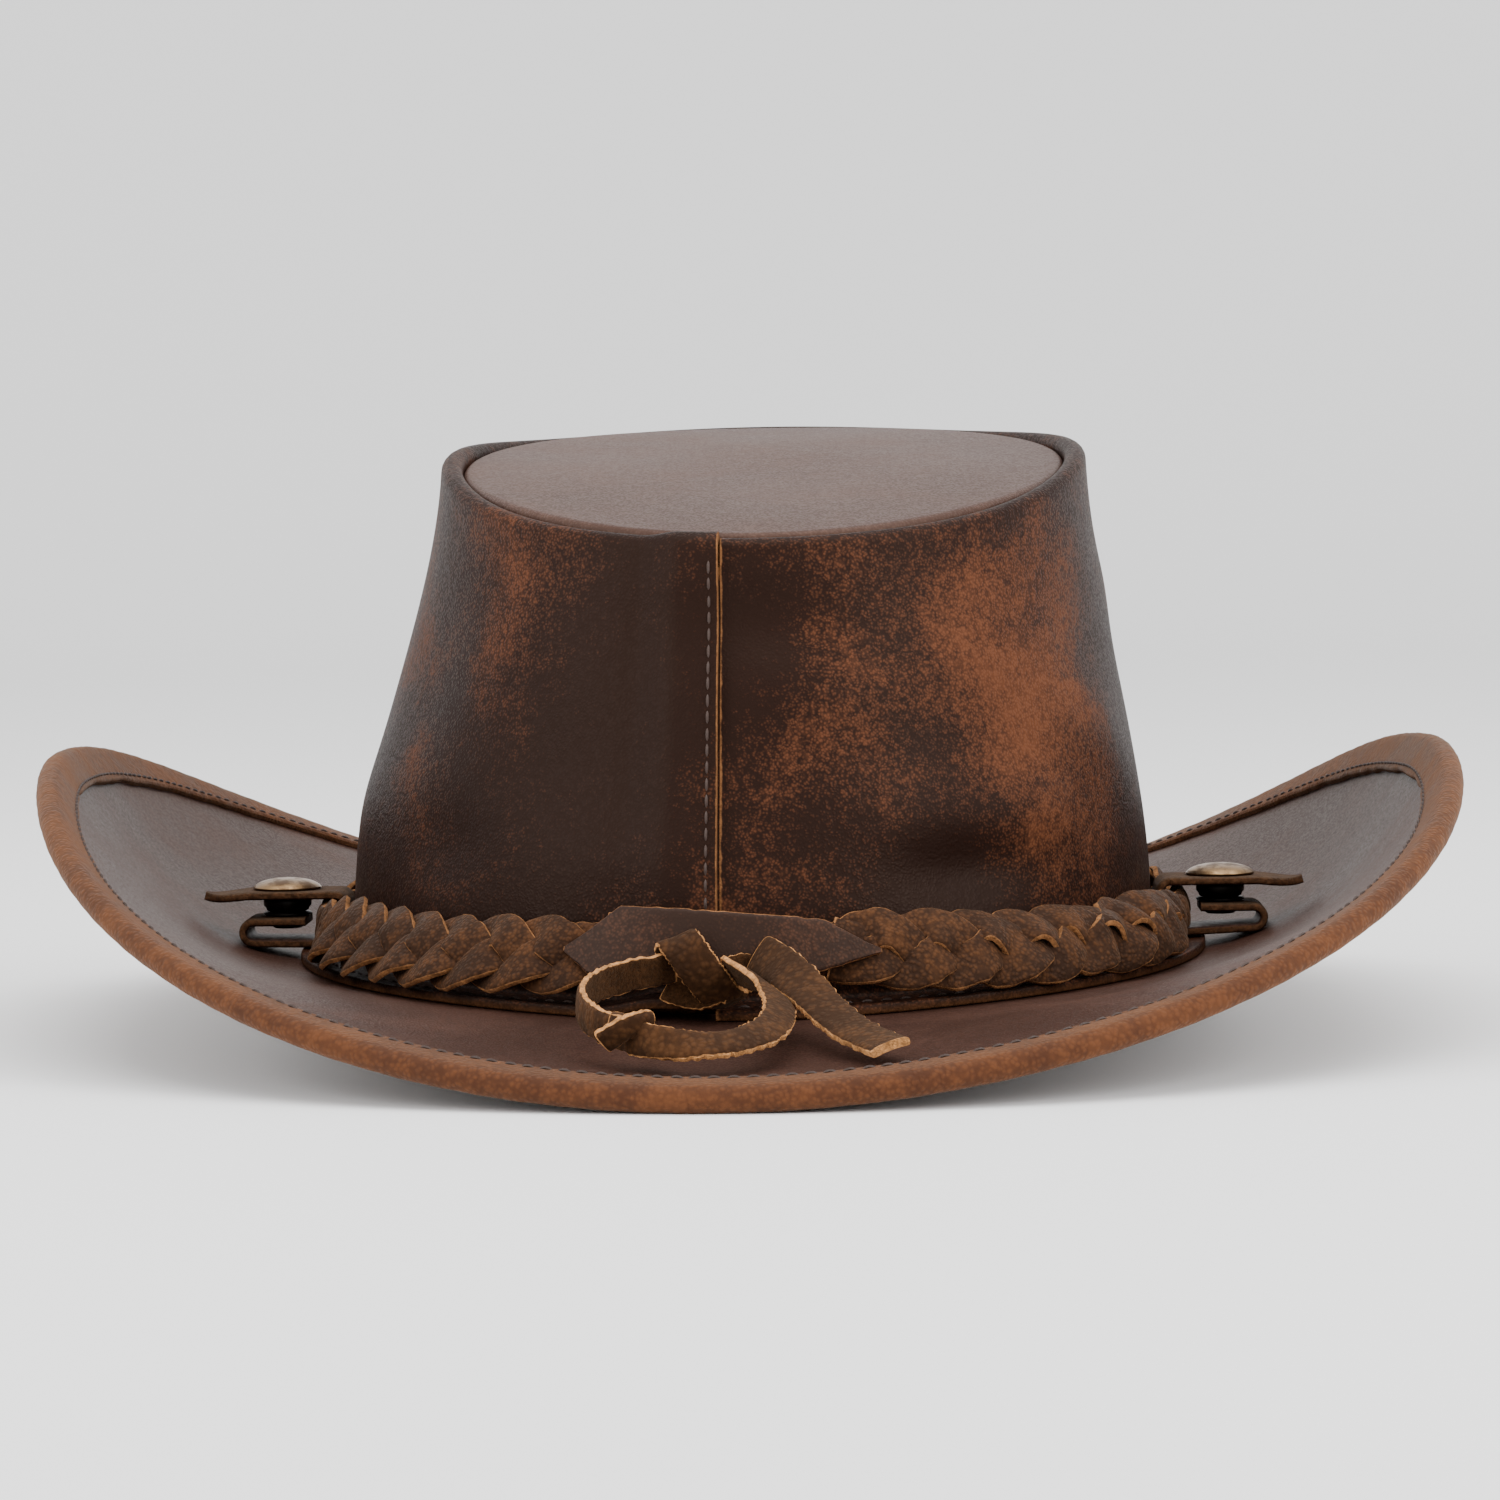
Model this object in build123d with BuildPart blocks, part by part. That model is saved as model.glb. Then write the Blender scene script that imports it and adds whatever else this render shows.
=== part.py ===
"""Leather cowboy hat with a rolled brim, a braided band, a tie lace and two snap keepers.

Millimetres, +Z up, +Y towards the front of the hat, +X towards the wearer's right.  The hat
rests on the lowest points of its brim, front and back.  Most pieces run round the head oval,
so they are lofts of small sections, each drawn on a plane square to the oval: local x is the
distance outwards from the crown's outer face at its base, local y is the height.
"""

from build123d import *
import math
import os

# ---- driving dimensions ---------------------------------------------------------------------

HEAD_HALF_WIDTH = 89.0      # crown's outer face at its base, half across
HEAD_HALF_LENGTH = 108.0    # and half along
LEATHER = 2.2               # crown and brim leather
LAYER_GAP = 0.15            # air between two pieces that lie on each other
STEP_ANGLE = 10.0           # largest angle between two sections of a loft

# Brim
BASE_HEIGHT_BACK = 10.0     # middle of the brim leather at the crown, at the back
BASE_RISE_FRONT = 2.0       # how much higher it is at the front
BASE_RISE_SIDE = 2.3        # and how much the sides add
CREST_RISE = 55.5           # rise of the rolled sides above the front and back edges
CREST_LEAN = -1.5           # twist of the two crests
CREST_POWER_BACK, CREST_POWER_FRONT = 2.0, 1.6    # how pointed the crests are, seen along X
CREST_EASE = 0.15           # rounds the change from falling to rising at the front
BRIM_REACH_END = 84.0       # plan width of the brim, front and back
BRIM_REACH_SIDE = 64.5      # plan width at the crests
BRIM_REACH_CORNER = 6.0     # extra plan width on the diagonals
BRIM_REACH_LEFT = 2.0       # extra on the left side, and less on the right
BRIM_REACH_TWIST = -4.0     # extra on one pair of diagonals, and less on the other
CURL_END, CURL_SIDE = 1.2, 2.6    # how late the brim turns up on its way out

# Edge wire and binding
WIRE_RADIUS = 1.0
WIRE_SIDES = 8              # the round wire is drawn as a polygon
WIRE_PLAY = 0.2
BINDING = 1.6               # binding leather
BINDING_LEG = 8.0           # width of each leg, from the wire's centre

# Crown
TOP_INSET = 17.5            # how far the top stands in from the base
TOP_INSET_PITCH = 3.0       # more than that at the front, less at the back
TOP_HEIGHT = 122.5          # top of the rolled rim at the middle of the sides
TOP_SLOPE = 0.13            # rise of the rim towards the front
TOP_BOW = 0.0002            # droop of the rim towards both ends
FLANGE = 12.0               # lower edge turned out on the brim
BEND_RADIUS = 3.0
ROLL_RADIUS = 1.3           # rolled top rim, at the middle of the leather
SEAM_ALLOWANCE = 8.0
SEAM_SHIFT = -4.3           # back seam, from the middle plane
LAP_WIDTH_ANGLE = 6.5       # lap of the left end over the right one
LAP_RAMP_ANGLE = 8.0
LAP_GAP_ANGLE = 0.3
LAP_SKIVE = 0.1             # the hidden end is thinner on each face
LAP_JOIN_ANGLE = 1.0        # and runs this far into the full section
TIP_DROP = 1.0              # edge of the tip below the top of the rim
TIP_DOME = 3.0

# Sweatband
SWEATBAND = 1.2
SWEATBAND_HEIGHT = 32.0
SWEATBAND_GAP = 0.4

# Band of three braided strands
BAND_HALF_HEIGHT = 9.0
BAND_HALF_THICKNESS = 3.0
BAND_GATHER = 0.56          # share of the height lost where a keeper gathers the strands
BAND_GATHER_ANGLE = 20.0
BAND_LEAN_BACK = 12.0
BAND_LEAN = 38.0
BAND_LEAN_KEEPER = 4.0
BAND_WALL_GAP = 0.5
BAND_REST_GAP = 1.0
BAND_LAP_GAP = 1.1          # more room over the lap of the back seam, beside the lap itself
KEEPER_PINCH = 2.4          # room for the keeper strap between the strands and the wall
KEEPER_LIFT = 1.8           # and under the strands
STRANDS = 3
STRAND_GAP = 0.3
TAB = 2.0
TAB_HALF_HEIGHT = 7.6
TAB_LEFT, TAB_RIGHT = -34.0, 27.0
TAB_POINT = 10.0
INNER_TAB_LEFT, INNER_TAB_RIGHT = -38.0, 8.0
LACE_HOLE_RADIUS = 2.5
LACE_HOLE_X = -5.0

# Keepers and their snaps
STRAP = 2.0
STRAP_WIDTH = 18.0
STRAP_REST_GAP = 0.5
STRAP_REACH = 22.6          # middle of the outer fold, from the crown
FOLD_RADIUS = 2.3
STUD_LEG_END = 10.9
SNAP_REACH = 15.6
HINGE_REACH = 1.7
FLAP_TIP = 34.0
FLAP_POINT = 9.0
CAP_RADIUS = 7.7
CAP_RISE = 2.6
DOME_TURNS = [math.radians(turn) for turn in (75, 60, 45, 30, 15)]
SNAP_DISC_RADIUS = 5.4
SNAP_DISC = 0.8
SOCKET_HEIGHT = 2.9
SOCKET_BORE_RADIUS = 2.6
STUD_RADIUS_LOW, STUD_RADIUS_TOP = 2.2, 1.5
STUD_RISE = 2.1
SHANK_RADIUS = 1.4
SHANK_PLAY = 0.1
FACE_GAP = 0.05

# Tie lace
LACE = 1.8
LACE_WIDTH = 9.0
# Route of the loop's middle: sideways, and outwards on a plane that leans over the brim.
LOOP_START_Y, LOOP_START_HEIGHT = -121.0, 22.0
LOOP_SLOPE = 0.19
LOOP_POINTS = [
    (-11.0, 0.0), (-21.0, 5.5), (-28.0, 15.0), (-29.5, 27.0), (-26.0, 39.0), (-19.0, 49.0),
    (-9.0, 56.5), (1.5, 56.0), (8.5, 48.0), (11.0, 36.0), (10.0, 24.0), (6.5, 12.5), (0.0, 3.0),
]
# Route of the tail's middle in an upright plane: outwards from its start, and height.
TAIL_START = (6.0, -121.2)
TAIL_HEADING = -64.0
TAIL_POINTS = [(0.0, 24.0), (9.0, 23.2), (21.0, 19.6), (34.0, 14.8), (48.0, 11.4), (61.0, 10.6)]

# Stitching
THREAD_RADIUS = 0.3
STITCH_LENGTH = 2.5
STITCH_GAP = 0.15


# ---- shape of the hat, shared by every piece ------------------------------------------------

def unit(d, z):
    """A pair scaled to length one."""
    size = math.hypot(d, z)
    return d / size, z / size


def base_height(angle):
    """Height of the middle of the brim leather where it meets the crown."""
    c, s = math.cos(math.radians(angle)), math.sin(math.radians(angle))
    return BASE_HEIGHT_BACK + BASE_RISE_FRONT * (1 + s) / 2 + BASE_RISE_SIDE * c * c


ROLL = LEATHER / 2 + LAYER_GAP + BINDING    # outer radius of the bound edge
REST = ROLL + CREST_LEAN**2 / CREST_RISE    # edge height that puts the lowest point on the floor


def edge_height(angle):
    """Height of the brim's edge wire: lowest front and back, highest at the sides."""
    c, s = math.cos(math.radians(angle)), math.sin(math.radians(angle))
    power = CREST_POWER_BACK if s < 0 else CREST_POWER_FRONT
    ease = CREST_EASE**power
    crest = ((c * c + CREST_EASE**2) ** (power / 2) - ease) / ((1 + CREST_EASE**2) ** (power / 2) - ease)
    return REST + CREST_RISE * crest + 2 * CREST_LEAN * s * c


def brim_reach(angle):
    """Plan distance from the crown to the edge wire."""
    c, s = math.cos(math.radians(angle)), math.sin(math.radians(angle))
    return (
        BRIM_REACH_END
        + (BRIM_REACH_SIDE - BRIM_REACH_END) * c * c
        - BRIM_REACH_LEFT * c * abs(c)
        + BRIM_REACH_CORNER * (2 * s * c) ** 2
        + BRIM_REACH_TWIST * 2 * s * c
    )


def brim_middle(angle, d):
    """Height of the middle of the brim leather at the distance d from the crown."""
    low, high, reach = base_height(angle), edge_height(angle), brim_reach(angle)
    curl = CURL_END + (CURL_SIDE - CURL_END) * math.cos(math.radians(angle)) ** 2
    return low + (high - low) * (max(d, 0.0) / reach) ** curl


def brim_point(angle, d, offset):
    """A point at the given offset above the middle of the brim, square to it."""
    step = 0.05
    slope = (brim_middle(angle, d + step) - brim_middle(angle, d - step)) / (2 * step)
    nd, nz = unit(-slope, 1.0)
    return d + offset * nd, brim_middle(angle, d) + offset * nz


def edge_frame(angle):
    """Wire centre, and the direction in which the brim leaves through it."""
    reach, step = brim_reach(angle), 0.05
    rise = (brim_middle(angle, reach) - brim_middle(angle, reach - step)) / step
    return (reach, edge_height(angle)), unit(1.0, rise)


def oval_normal(angle):
    """Outward plan normal of the head oval."""
    c, s = math.cos(math.radians(angle)), math.sin(math.radians(angle))
    return unit(HEAD_HALF_LENGTH * c, HEAD_HALF_WIDTH * s)


def oval_point(angle, d=0.0):
    """Plan point at the distance d outside the head oval, before the hat is centred."""
    nx, ny = oval_normal(angle)
    x = HEAD_HALF_WIDTH * math.cos(math.radians(angle)) + d * nx
    y = HEAD_HALF_LENGTH * math.sin(math.radians(angle)) + d * ny
    return x, y


def centring():
    """Shift that puts the middle of the bound edge's box on the axis."""
    outer = []
    for angle in range(360):
        (d, _), (out, _) = edge_frame(angle)
        outer.append(oval_point(angle, d + ROLL * out))
    xs, ys = [p[0] for p in outer], [p[1] for p in outer]
    return -(min(xs) + max(xs)) / 2, -(min(ys) + max(ys)) / 2


SHIFT_X, SHIFT_Y = centring()


def place(angle, d, z):
    """A section point in the hat's own frame."""
    x, y = oval_point(angle, d)
    return Vector(x + SHIFT_X, y + SHIFT_Y, z)


def section_plane(angle):
    """Upright plane square to the head oval, with local x outwards and local y up."""
    nx, ny = oval_normal(angle)
    return Plane(origin=place(angle, 0, 0), x_dir=(nx, ny, 0), z_dir=(ny, -nx, 0))


def angle_at(x, d=0.0):
    """Angle of the section at the back that passes through x, at the distance d."""
    low, high = -180.0, 0.0
    for _ in range(40):
        middle = (low + high) / 2
        if oval_point(middle, d)[0] < x:
            low = middle
        else:
            high = middle
    return (low + high) / 2


SEAM = angle_at(SEAM_SHIFT)
FLANGE_TOP = LEATHER / 2 + LAYER_GAP + LEATHER     # above the middle of the brim leather


def top_inset(angle):
    """How far the rim of the crown stands in from the base."""
    return TOP_INSET + TOP_INSET_PITCH * math.sin(math.radians(angle))


def top_height(y):
    """Height of the top of the rim: it climbs to the front and droops at both ends."""
    return TOP_HEIGHT + TOP_SLOPE * y - TOP_BOW * y * y


def rim_height(angle):
    """Height of the top of the rolled rim."""
    return top_height(oval_point(angle, -top_inset(angle))[1])


def wall_inset(t):
    """Share of the inset reached at the share t of the wall's height: steep low down."""
    return -0.21 * t + 3.06 * t * t - 1.85 * t**3


def wall_span(angle):
    """Heights between which the crown's wall runs."""
    low = brim_middle(angle, 0) + FLANGE_TOP - LEATHER / 2 + BEND_RADIUS
    return low, rim_height(angle) - LEATHER / 2 - ROLL_RADIUS


def wall_point(angle, z, offset):
    """A point of the wall at the height z, offset outwards from its outer face."""
    low, high = wall_span(angle)
    t = (z - low) / (high - low)
    step = 0.01
    lean = top_inset(angle) * (wall_inset(t + step) - wall_inset(t)) / (step * (high - low))
    nd, nz = unit(1.0, lean)
    depth = -top_inset(angle) * (wall_inset(t) if t > 0 else 0.0)
    return depth + offset * nd, z + offset * nz


def lap_lift(angle):
    """How far the left end of the crown panel rides up over the right end."""
    start = SEAM + 360 - LAP_WIDTH_ANGLE - LAP_RAMP_ANGLE
    t = min(max((angle - start) / LAP_RAMP_ANGLE, 0.0), 1.0)
    return (LEATHER + LAYER_GAP) * t * t * (3 - 2 * t)


WALL_SHARES = (0.0, 0.12, 0.25, 0.4, 0.55, 0.7, 0.85, 0.96)    # of the wall's height


def crown_middle(angle):
    """Middle line of the crown panel: points, their outward normals, and how a lap shifts them."""
    half = LEATHER / 2
    line = []
    for d in (FLANGE, FLANGE * 0.75, FLANGE * 0.5):
        line.append(((d, brim_middle(angle, d) + FLANGE_TOP - half), (0.0, 1.0), (0.0, 1.0)))
    low, high = wall_span(angle)
    for turn in (270, 240, 210):
        c, s = math.cos(math.radians(turn)), math.sin(math.radians(turn))
        point = (BEND_RADIUS - half + BEND_RADIUS * c, low + BEND_RADIUS * s)
        line.append((point, (-c, -s), (1.0, 1.0)))
    for t in WALL_SHARES:
        z = low + t * (high - low)
        d_in, z_in = wall_point(angle, z, -half)
        d_out, z_out = wall_point(angle, z, half)
        line.append(((d_in, z_in), unit(d_out - d_in, z_out - z_in), (1.0, 0.0)))
    centre = -top_inset(angle) - half - ROLL_RADIUS
    for turn in (0, 45, 90, 135, 180):
        c, s = math.cos(math.radians(turn)), math.sin(math.radians(turn))
        share = (1 + c) / 2
        line.append(((centre + ROLL_RADIUS * c, high + ROLL_RADIUS * s), (c, s), (c * share, s * share)))
    for drop in (SEAM_ALLOWANCE / 2, SEAM_ALLOWANCE):
        line.append(((centre - ROLL_RADIUS, high - drop), (-1.0, 0.0), (0.0, 0.0)))
    return line


TIP_EDGE = -LEATHER - 2 * ROLL_RADIUS - LEATHER / 2 - LAYER_GAP + LEATHER / 2


def gather(angle):
    """One at a keeper, nought away from both of them."""
    away = min(abs((angle + k) % 360 - 180) for k in (0, 180))
    return math.exp(-((away / BAND_GATHER_ANGLE) ** 4))


def band_frame(angle):
    """Centre, up direction, half height and half thickness of the band."""
    g = gather(angle)
    back = math.exp(-(((angle + 90 + 180) % 360 - 180) / 24.0) ** 2)
    lean = BAND_LEAN + (BAND_LEAN_BACK - BAND_LEAN) * back
    lean = math.radians(lean + (BAND_LEAN_KEEPER - lean) * g)
    height = BAND_HALF_HEIGHT * (1 - BAND_GATHER * g)
    thick = BAND_HALF_THICKNESS
    over = (LEATHER + LAYER_GAP + BAND_LAP_GAP) * back
    rest = base_height(angle) + FLANGE_TOP + BAND_REST_GAP + KEEPER_LIFT * g + over
    gap = BAND_WALL_GAP + KEEPER_PINCH * g + over
    d = gap + height * math.sin(lean) + thick * math.cos(lean)
    z = rest + height * math.cos(lean) + thick * math.sin(lean)
    return (d, z), (-math.sin(lean), math.cos(lean)), height, thick


def band_point(angle, up, out):
    """A section point of the band, up along it and outwards across it from its centre."""
    (d, z), (ud, uz), _, _ = band_frame(angle)
    return d + up * ud + out * uz, z + up * uz - out * ud


# ---- helpers that draw inside the current builder -------------------------------------------

def strip_face(first, second):
    """Fill between two curves that run side by side, each given by its points."""
    with BuildLine() as outline:
        near, far = Spline(*first), Spline(*second)
        Line(near @ 0, far @ 0)
        Line(near @ 1, far @ 1)
    make_face(outline.edges())


def corner_face(corners):
    """Fill a polygon."""
    with BuildLine() as outline:
        Polyline(*corners, close=True)
    make_face(outline.edges())


def loft_round(draw, start, end, step=STEP_ANGLE):
    """Loft the section that draw(angle) makes from one angle to another."""
    count = max(1, math.ceil((end - start) / step - 1e-6))
    sections = []
    for k in range(count + 1):
        angle = start + (end - start) * k / count
        with BuildSketch(section_plane(angle)) as section:
            draw(angle)
        sections.append(section.sketch)
    loft(sections)


def loft_closed(draw, parts=3):
    """Loft a section all the way round, in equal parts that join end to end."""
    for k in range(parts):
        loft_round(draw, SEAM + 360 * k / parts, SEAM + 360 * (k + 1) / parts)


def stitches(places):
    """Short threads, each given by its middle and its direction."""
    spots = [Location(Plane(origin=middle, z_dir=along)) for middle, along in places]
    with Locations(*spots):
        Cylinder(radius=THREAD_RADIUS, height=STITCH_LENGTH)


def stitch_row(place_at, start, end, pitch):
    """Places of a row of stitches along the curve place_at(angle)."""
    steps = 720
    points = [place_at(start + (end - start) * k / steps) for k in range(steps + 1)]
    places, run = [], pitch / 2
    for a, b in zip(points, points[1:]):
        run += (b - a).length
        if run >= pitch:
            run -= pitch
            places.append(((a + b) * 0.5, (b - a).normalized()))
    return places


# ---- brim -----------------------------------------------------------------------------------

def draw_brim(angle):
    (reach, _), (out, _) = edge_frame(angle)
    end = reach - (WIRE_RADIUS + WIRE_PLAY) * out
    stops = [-LEATHER + (end + LEATHER) * k / 7 for k in range(8)]
    strip_face(
        [brim_point(angle, d, LEATHER / 2) for d in stops],
        [brim_point(angle, d, -LEATHER / 2) for d in stops],
    )


with BuildPart() as brim:
    loft_closed(draw_brim)


def draw_wire(angle):
    (d, z), _ = edge_frame(angle)
    with Locations((d, z)):
        RegularPolygon(WIRE_RADIUS, WIRE_SIDES)


with BuildPart() as brim_wire:
    loft_closed(draw_wire, parts=2)


def draw_binding(angle):
    (d, z), (out, up) = edge_frame(angle)
    inner = LEATHER / 2 + LAYER_GAP
    backs = [BINDING_LEG, BINDING_LEG * 2 / 3, BINDING_LEG / 3]
    stops = [d - back * out for back in backs]

    def leg(offset):
        end = (d - offset * up, z + offset * out)
        return [brim_point(angle, stop, offset) for stop in stops] + [end]

    def round_end(radius):
        tip = (d + radius * out, z + radius * up)
        ThreePointArc((d - radius * up, z + radius * out), tip, (d + radius * up, z - radius * out))

    with BuildLine() as outline:
        top_outer, top_inner = Spline(*leg(ROLL)), Spline(*leg(inner))
        low_outer, low_inner = Spline(*leg(-ROLL)), Spline(*leg(-inner))
        round_end(ROLL)
        round_end(inner)
        Line(top_outer @ 0, top_inner @ 0)
        Line(low_outer @ 0, low_inner @ 0)
    make_face(outline.edges())


with BuildPart() as brim_binding:
    loft_closed(draw_binding)


def binding_row(angle):
    (d, _), (out, _) = edge_frame(angle)
    top = ROLL + THREAD_RADIUS + STITCH_GAP
    return place(angle, *brim_point(angle, d - (BINDING_LEG - 1.6) * out, top))


BINDING_PITCH = 6.0
with BuildPart() as brim_binding_stitching:
    stitches(stitch_row(binding_row, SEAM, SEAM + 360, BINDING_PITCH))


# ---- crown ----------------------------------------------------------------------------------

def draw_crown(angle):
    lift = lap_lift(angle)
    outer, inner = [], []
    for (d, z), (nd, nz), (out, up) in crown_middle(angle):
        d, z = d + lift * out, z + lift * up
        outer.append((d + LEATHER / 2 * nd, z + LEATHER / 2 * nz))
        inner.append((d - LEATHER / 2 * nd, z - LEATHER / 2 * nz))
    strip_face(outer, inner)


def draw_underlap(angle):
    low, high = wall_span(angle)
    levels = [low + (high - low) * t for t in (0.03, 0.25, 0.5, 0.75, 0.95)]
    strip_face(
        [wall_point(angle, z, -LAP_SKIVE) for z in levels],
        [wall_point(angle, z, LAP_SKIVE - LEATHER) for z in levels],
    )


LAP_START = SEAM + 360 - LAP_WIDTH_ANGLE - LAP_RAMP_ANGLE
with BuildPart() as crown_side:
    loft_round(draw_crown, SEAM, SEAM + 120)
    loft_round(draw_crown, SEAM + 120, SEAM + 240)
    loft_round(draw_crown, SEAM + 240, LAP_START)
    loft_round(draw_crown, LAP_START, SEAM + 360 - LAP_GAP_ANGLE, step=3)
    loft_round(draw_underlap, SEAM - LAP_WIDTH_ANGLE, SEAM + LAP_JOIN_ANGLE, step=2)


def tip_outline(inset):
    """Closed outline of the tip, inset from the inner face of the crown's allowance."""
    spots = []
    for k in range(48):
        angle = SEAM + 360 * k / 48
        point = place(angle, TIP_EDGE - top_inset(angle) - inset, 0)
        spots.append((point.X, point.Y))
    with BuildLine() as outline:
        Spline(*spots, periodic=True)
    make_face(outline.edges())


TIP_LENGTH = HEAD_HALF_LENGTH + 20


def tip_slab(top, bottom):
    """Side view of a slab that follows the rim, between two drops below it."""

    def curve(drop):
        points = []
        for k in range(-4, 5):
            y = TIP_LENGTH * k / 4
            dome = TIP_DOME * (1 - (y / HEAD_HALF_LENGTH) ** 2)
            points.append((y + SHIFT_Y, top_height(y) - TIP_DROP + dome - drop))
        return points

    strip_face(curve(top), curve(bottom))


TIP_LEG = SEAM_ALLOWANCE + TIP_DOME
with BuildPart() as crown_tip:
    with BuildSketch(Plane.YZ):
        tip_slab(0, TIP_LEG)
    extrude(amount=HEAD_HALF_WIDTH, both=True)
    with BuildSketch(Plane.XY):
        tip_outline(0)
    extrude(amount=2 * TOP_HEIGHT, mode=Mode.INTERSECT)

with BuildPart() as tip_hollow:
    with BuildSketch(Plane.YZ):
        tip_slab(LEATHER, 2 * TIP_LEG)
    extrude(amount=HEAD_HALF_WIDTH, both=True)
    with BuildSketch(Plane.XY):
        tip_outline(LEATHER)
    extrude(amount=2 * TOP_HEIGHT, mode=Mode.INTERSECT)

crown_tip.part = crown_tip.part - tip_hollow.part


def tip_row(angle):
    inside = TIP_EDGE - top_inset(angle) - LEATHER - THREAD_RADIUS - STITCH_GAP
    return place(angle, inside, rim_height(angle) - TIP_DROP - SEAM_ALLOWANCE / 2 - LEATHER)


TIP_PITCH = 5.0
with BuildPart() as crown_tip_stitching:
    stitches(stitch_row(tip_row, SEAM, SEAM + 360, TIP_PITCH))

SEAM_PITCH = 3.6
SEAM_ROW_ANGLE = 1.7
with BuildPart() as crown_back_seam_stitching:
    row = SEAM - SEAM_ROW_ANGLE
    low, high = wall_span(row)
    above = LEATHER + LAYER_GAP + THREAD_RADIUS + STITCH_GAP
    places = []
    for k in range(int((high - low - 2 * SEAM_PITCH) / SEAM_PITCH)):
        z = low + SEAM_PITCH * (k + 1.5)
        a = place(row, *wall_point(row, z - STITCH_LENGTH / 2, above))
        b = place(row, *wall_point(row, z + STITCH_LENGTH / 2, above))
        places.append(((a + b) * 0.5, (b - a).normalized()))
    stitches(places)


def flange_row(angle):
    d, z = FLANGE * 0.62, FLANGE_TOP + THREAD_RADIUS + STITCH_GAP
    return place(angle, d, brim_middle(angle, d) + z)


FLANGE_PITCH = 5.0
FLANGE_ROW_CLEAR = 12.0     # the row stops before the keepers and the lap
with BuildPart() as brim_seam_stitching:
    rows = []
    for start, end in ((SEAM + 2, -FLANGE_ROW_CLEAR), (FLANGE_ROW_CLEAR, 180 - FLANGE_ROW_CLEAR),
                       (180 + FLANGE_ROW_CLEAR, LAP_START)):
        rows += stitch_row(flange_row, start, end, FLANGE_PITCH)
    stitches(rows)


# ---- sweatband ------------------------------------------------------------------------------

def draw_sweatband(angle):
    low = base_height(angle) - LEATHER / 2
    levels = [low + SWEATBAND_HEIGHT * k / 5 for k in range(6)]
    outer = LEATHER + SWEATBAND_GAP
    strip_face(
        [wall_point(angle, z, -outer) for z in levels],
        [wall_point(angle, z, -outer - SWEATBAND) for z in levels],
    )


with BuildPart() as sweatband:
    loft_closed(draw_sweatband)


def sweatband_row(angle):
    inside = LEATHER + SWEATBAND_GAP + SWEATBAND + THREAD_RADIUS + STITCH_GAP
    return place(angle, *wall_point(angle, base_height(angle) + 2.0, -inside))


SWEATBAND_PITCH = 5.0
with BuildPart() as sweatband_stitching:
    stitches(stitch_row(sweatband_row, SEAM, SEAM + 360, SWEATBAND_PITCH))


# ---- braided band ---------------------------------------------------------------------------

STRAND_START = angle_at(TAB_RIGHT + 1.0, 5.0)
STRAND_END = angle_at(INNER_TAB_LEFT - 1.0, 5.0) + 360


def draw_strand(index):
    """Section of one strand: the strands lie above one another."""

    def draw(angle):
        _, _, height, thick = band_frame(angle)
        size = 2 * height / STRANDS
        low = -height + index * size + STRAND_GAP / 2
        high = low + size - STRAND_GAP
        corners = [(low, -thick), (low, thick), (high, thick), (high, -thick)]
        corner_face([band_point(angle, up, out) for up, out in corners])

    return draw


strands = []
for index in range(STRANDS):
    with BuildPart() as strand:
        cuts = [STRAND_START + (STRAND_END - STRAND_START) * k / 4 for k in range(5)]
        for start, end in zip(cuts, cuts[1:]):
            loft_round(draw_strand(index), start, end, step=5)
    strands.append(strand.part)


def draw_tab(left, right, point, inside):
    """Section of a tab whose left end comes to a point and whose right end is rounded."""

    def draw(angle):
        x = oval_point(angle, 6.0)[0]
        taper = min(1.0, 0.25 + 0.75 * (x - left) / point) if point else 1.0
        close = min(1.0, max(0.0, (right - x) / 6.0))
        tall = TAB_HALF_HEIGHT * taper * (0.55 + 0.45 * math.sqrt(close))
        corners = [(-tall, inside), (-tall, inside + TAB), (tall, inside + TAB), (tall, inside)]
        corner_face([band_point(angle, up, out) for up, out in corners])

    return draw


OUTER_TAB_IN = LAYER_GAP / 2
INNER_TAB_IN = -LAYER_GAP / 2 - TAB
LACE_ANGLE = angle_at(LACE_HOLE_X, 6.0)


def lace_hole(clearance=0.0):
    """Round hole at the lace, square to the tabs, from just inside the inner tab."""
    nx, ny = oval_normal(LACE_ANGLE)
    centre = place(LACE_ANGLE, *band_point(LACE_ANGLE, 0, INNER_TAB_IN - 0.7))
    far = place(LACE_ANGLE, *band_point(LACE_ANGLE, 0, 6))
    with BuildSketch(Plane(origin=centre, x_dir=(-ny, nx, 0), z_dir=far - centre)) as hole:
        Circle(LACE_HOLE_RADIUS - clearance)
    return hole.sketch


with BuildPart() as hatband_outer_tab:
    left, right = angle_at(TAB_LEFT, 6.0), angle_at(TAB_RIGHT, 6.0)
    shape = draw_tab(TAB_LEFT, TAB_RIGHT, TAB_POINT, OUTER_TAB_IN)
    loft_round(shape, left, angle_at(TAB_LEFT + TAB_POINT, 6.0), step=3)
    loft_round(shape, angle_at(TAB_LEFT + TAB_POINT, 6.0), angle_at(TAB_RIGHT - 6, 6.0), step=5)
    loft_round(shape, angle_at(TAB_RIGHT - 6, 6.0), right, step=1)
    extrude(lace_hole(), amount=12, mode=Mode.SUBTRACT)

with BuildPart() as hatband_inner_tab:
    left, right = angle_at(INNER_TAB_LEFT, 6.0), angle_at(INNER_TAB_RIGHT, 6.0)
    loft_round(draw_tab(INNER_TAB_LEFT, INNER_TAB_RIGHT + 6, 0, INNER_TAB_IN), left, right, step=5)
    extrude(lace_hole(), amount=12, mode=Mode.SUBTRACT)


# ---- tie lace -------------------------------------------------------------------------------

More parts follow.
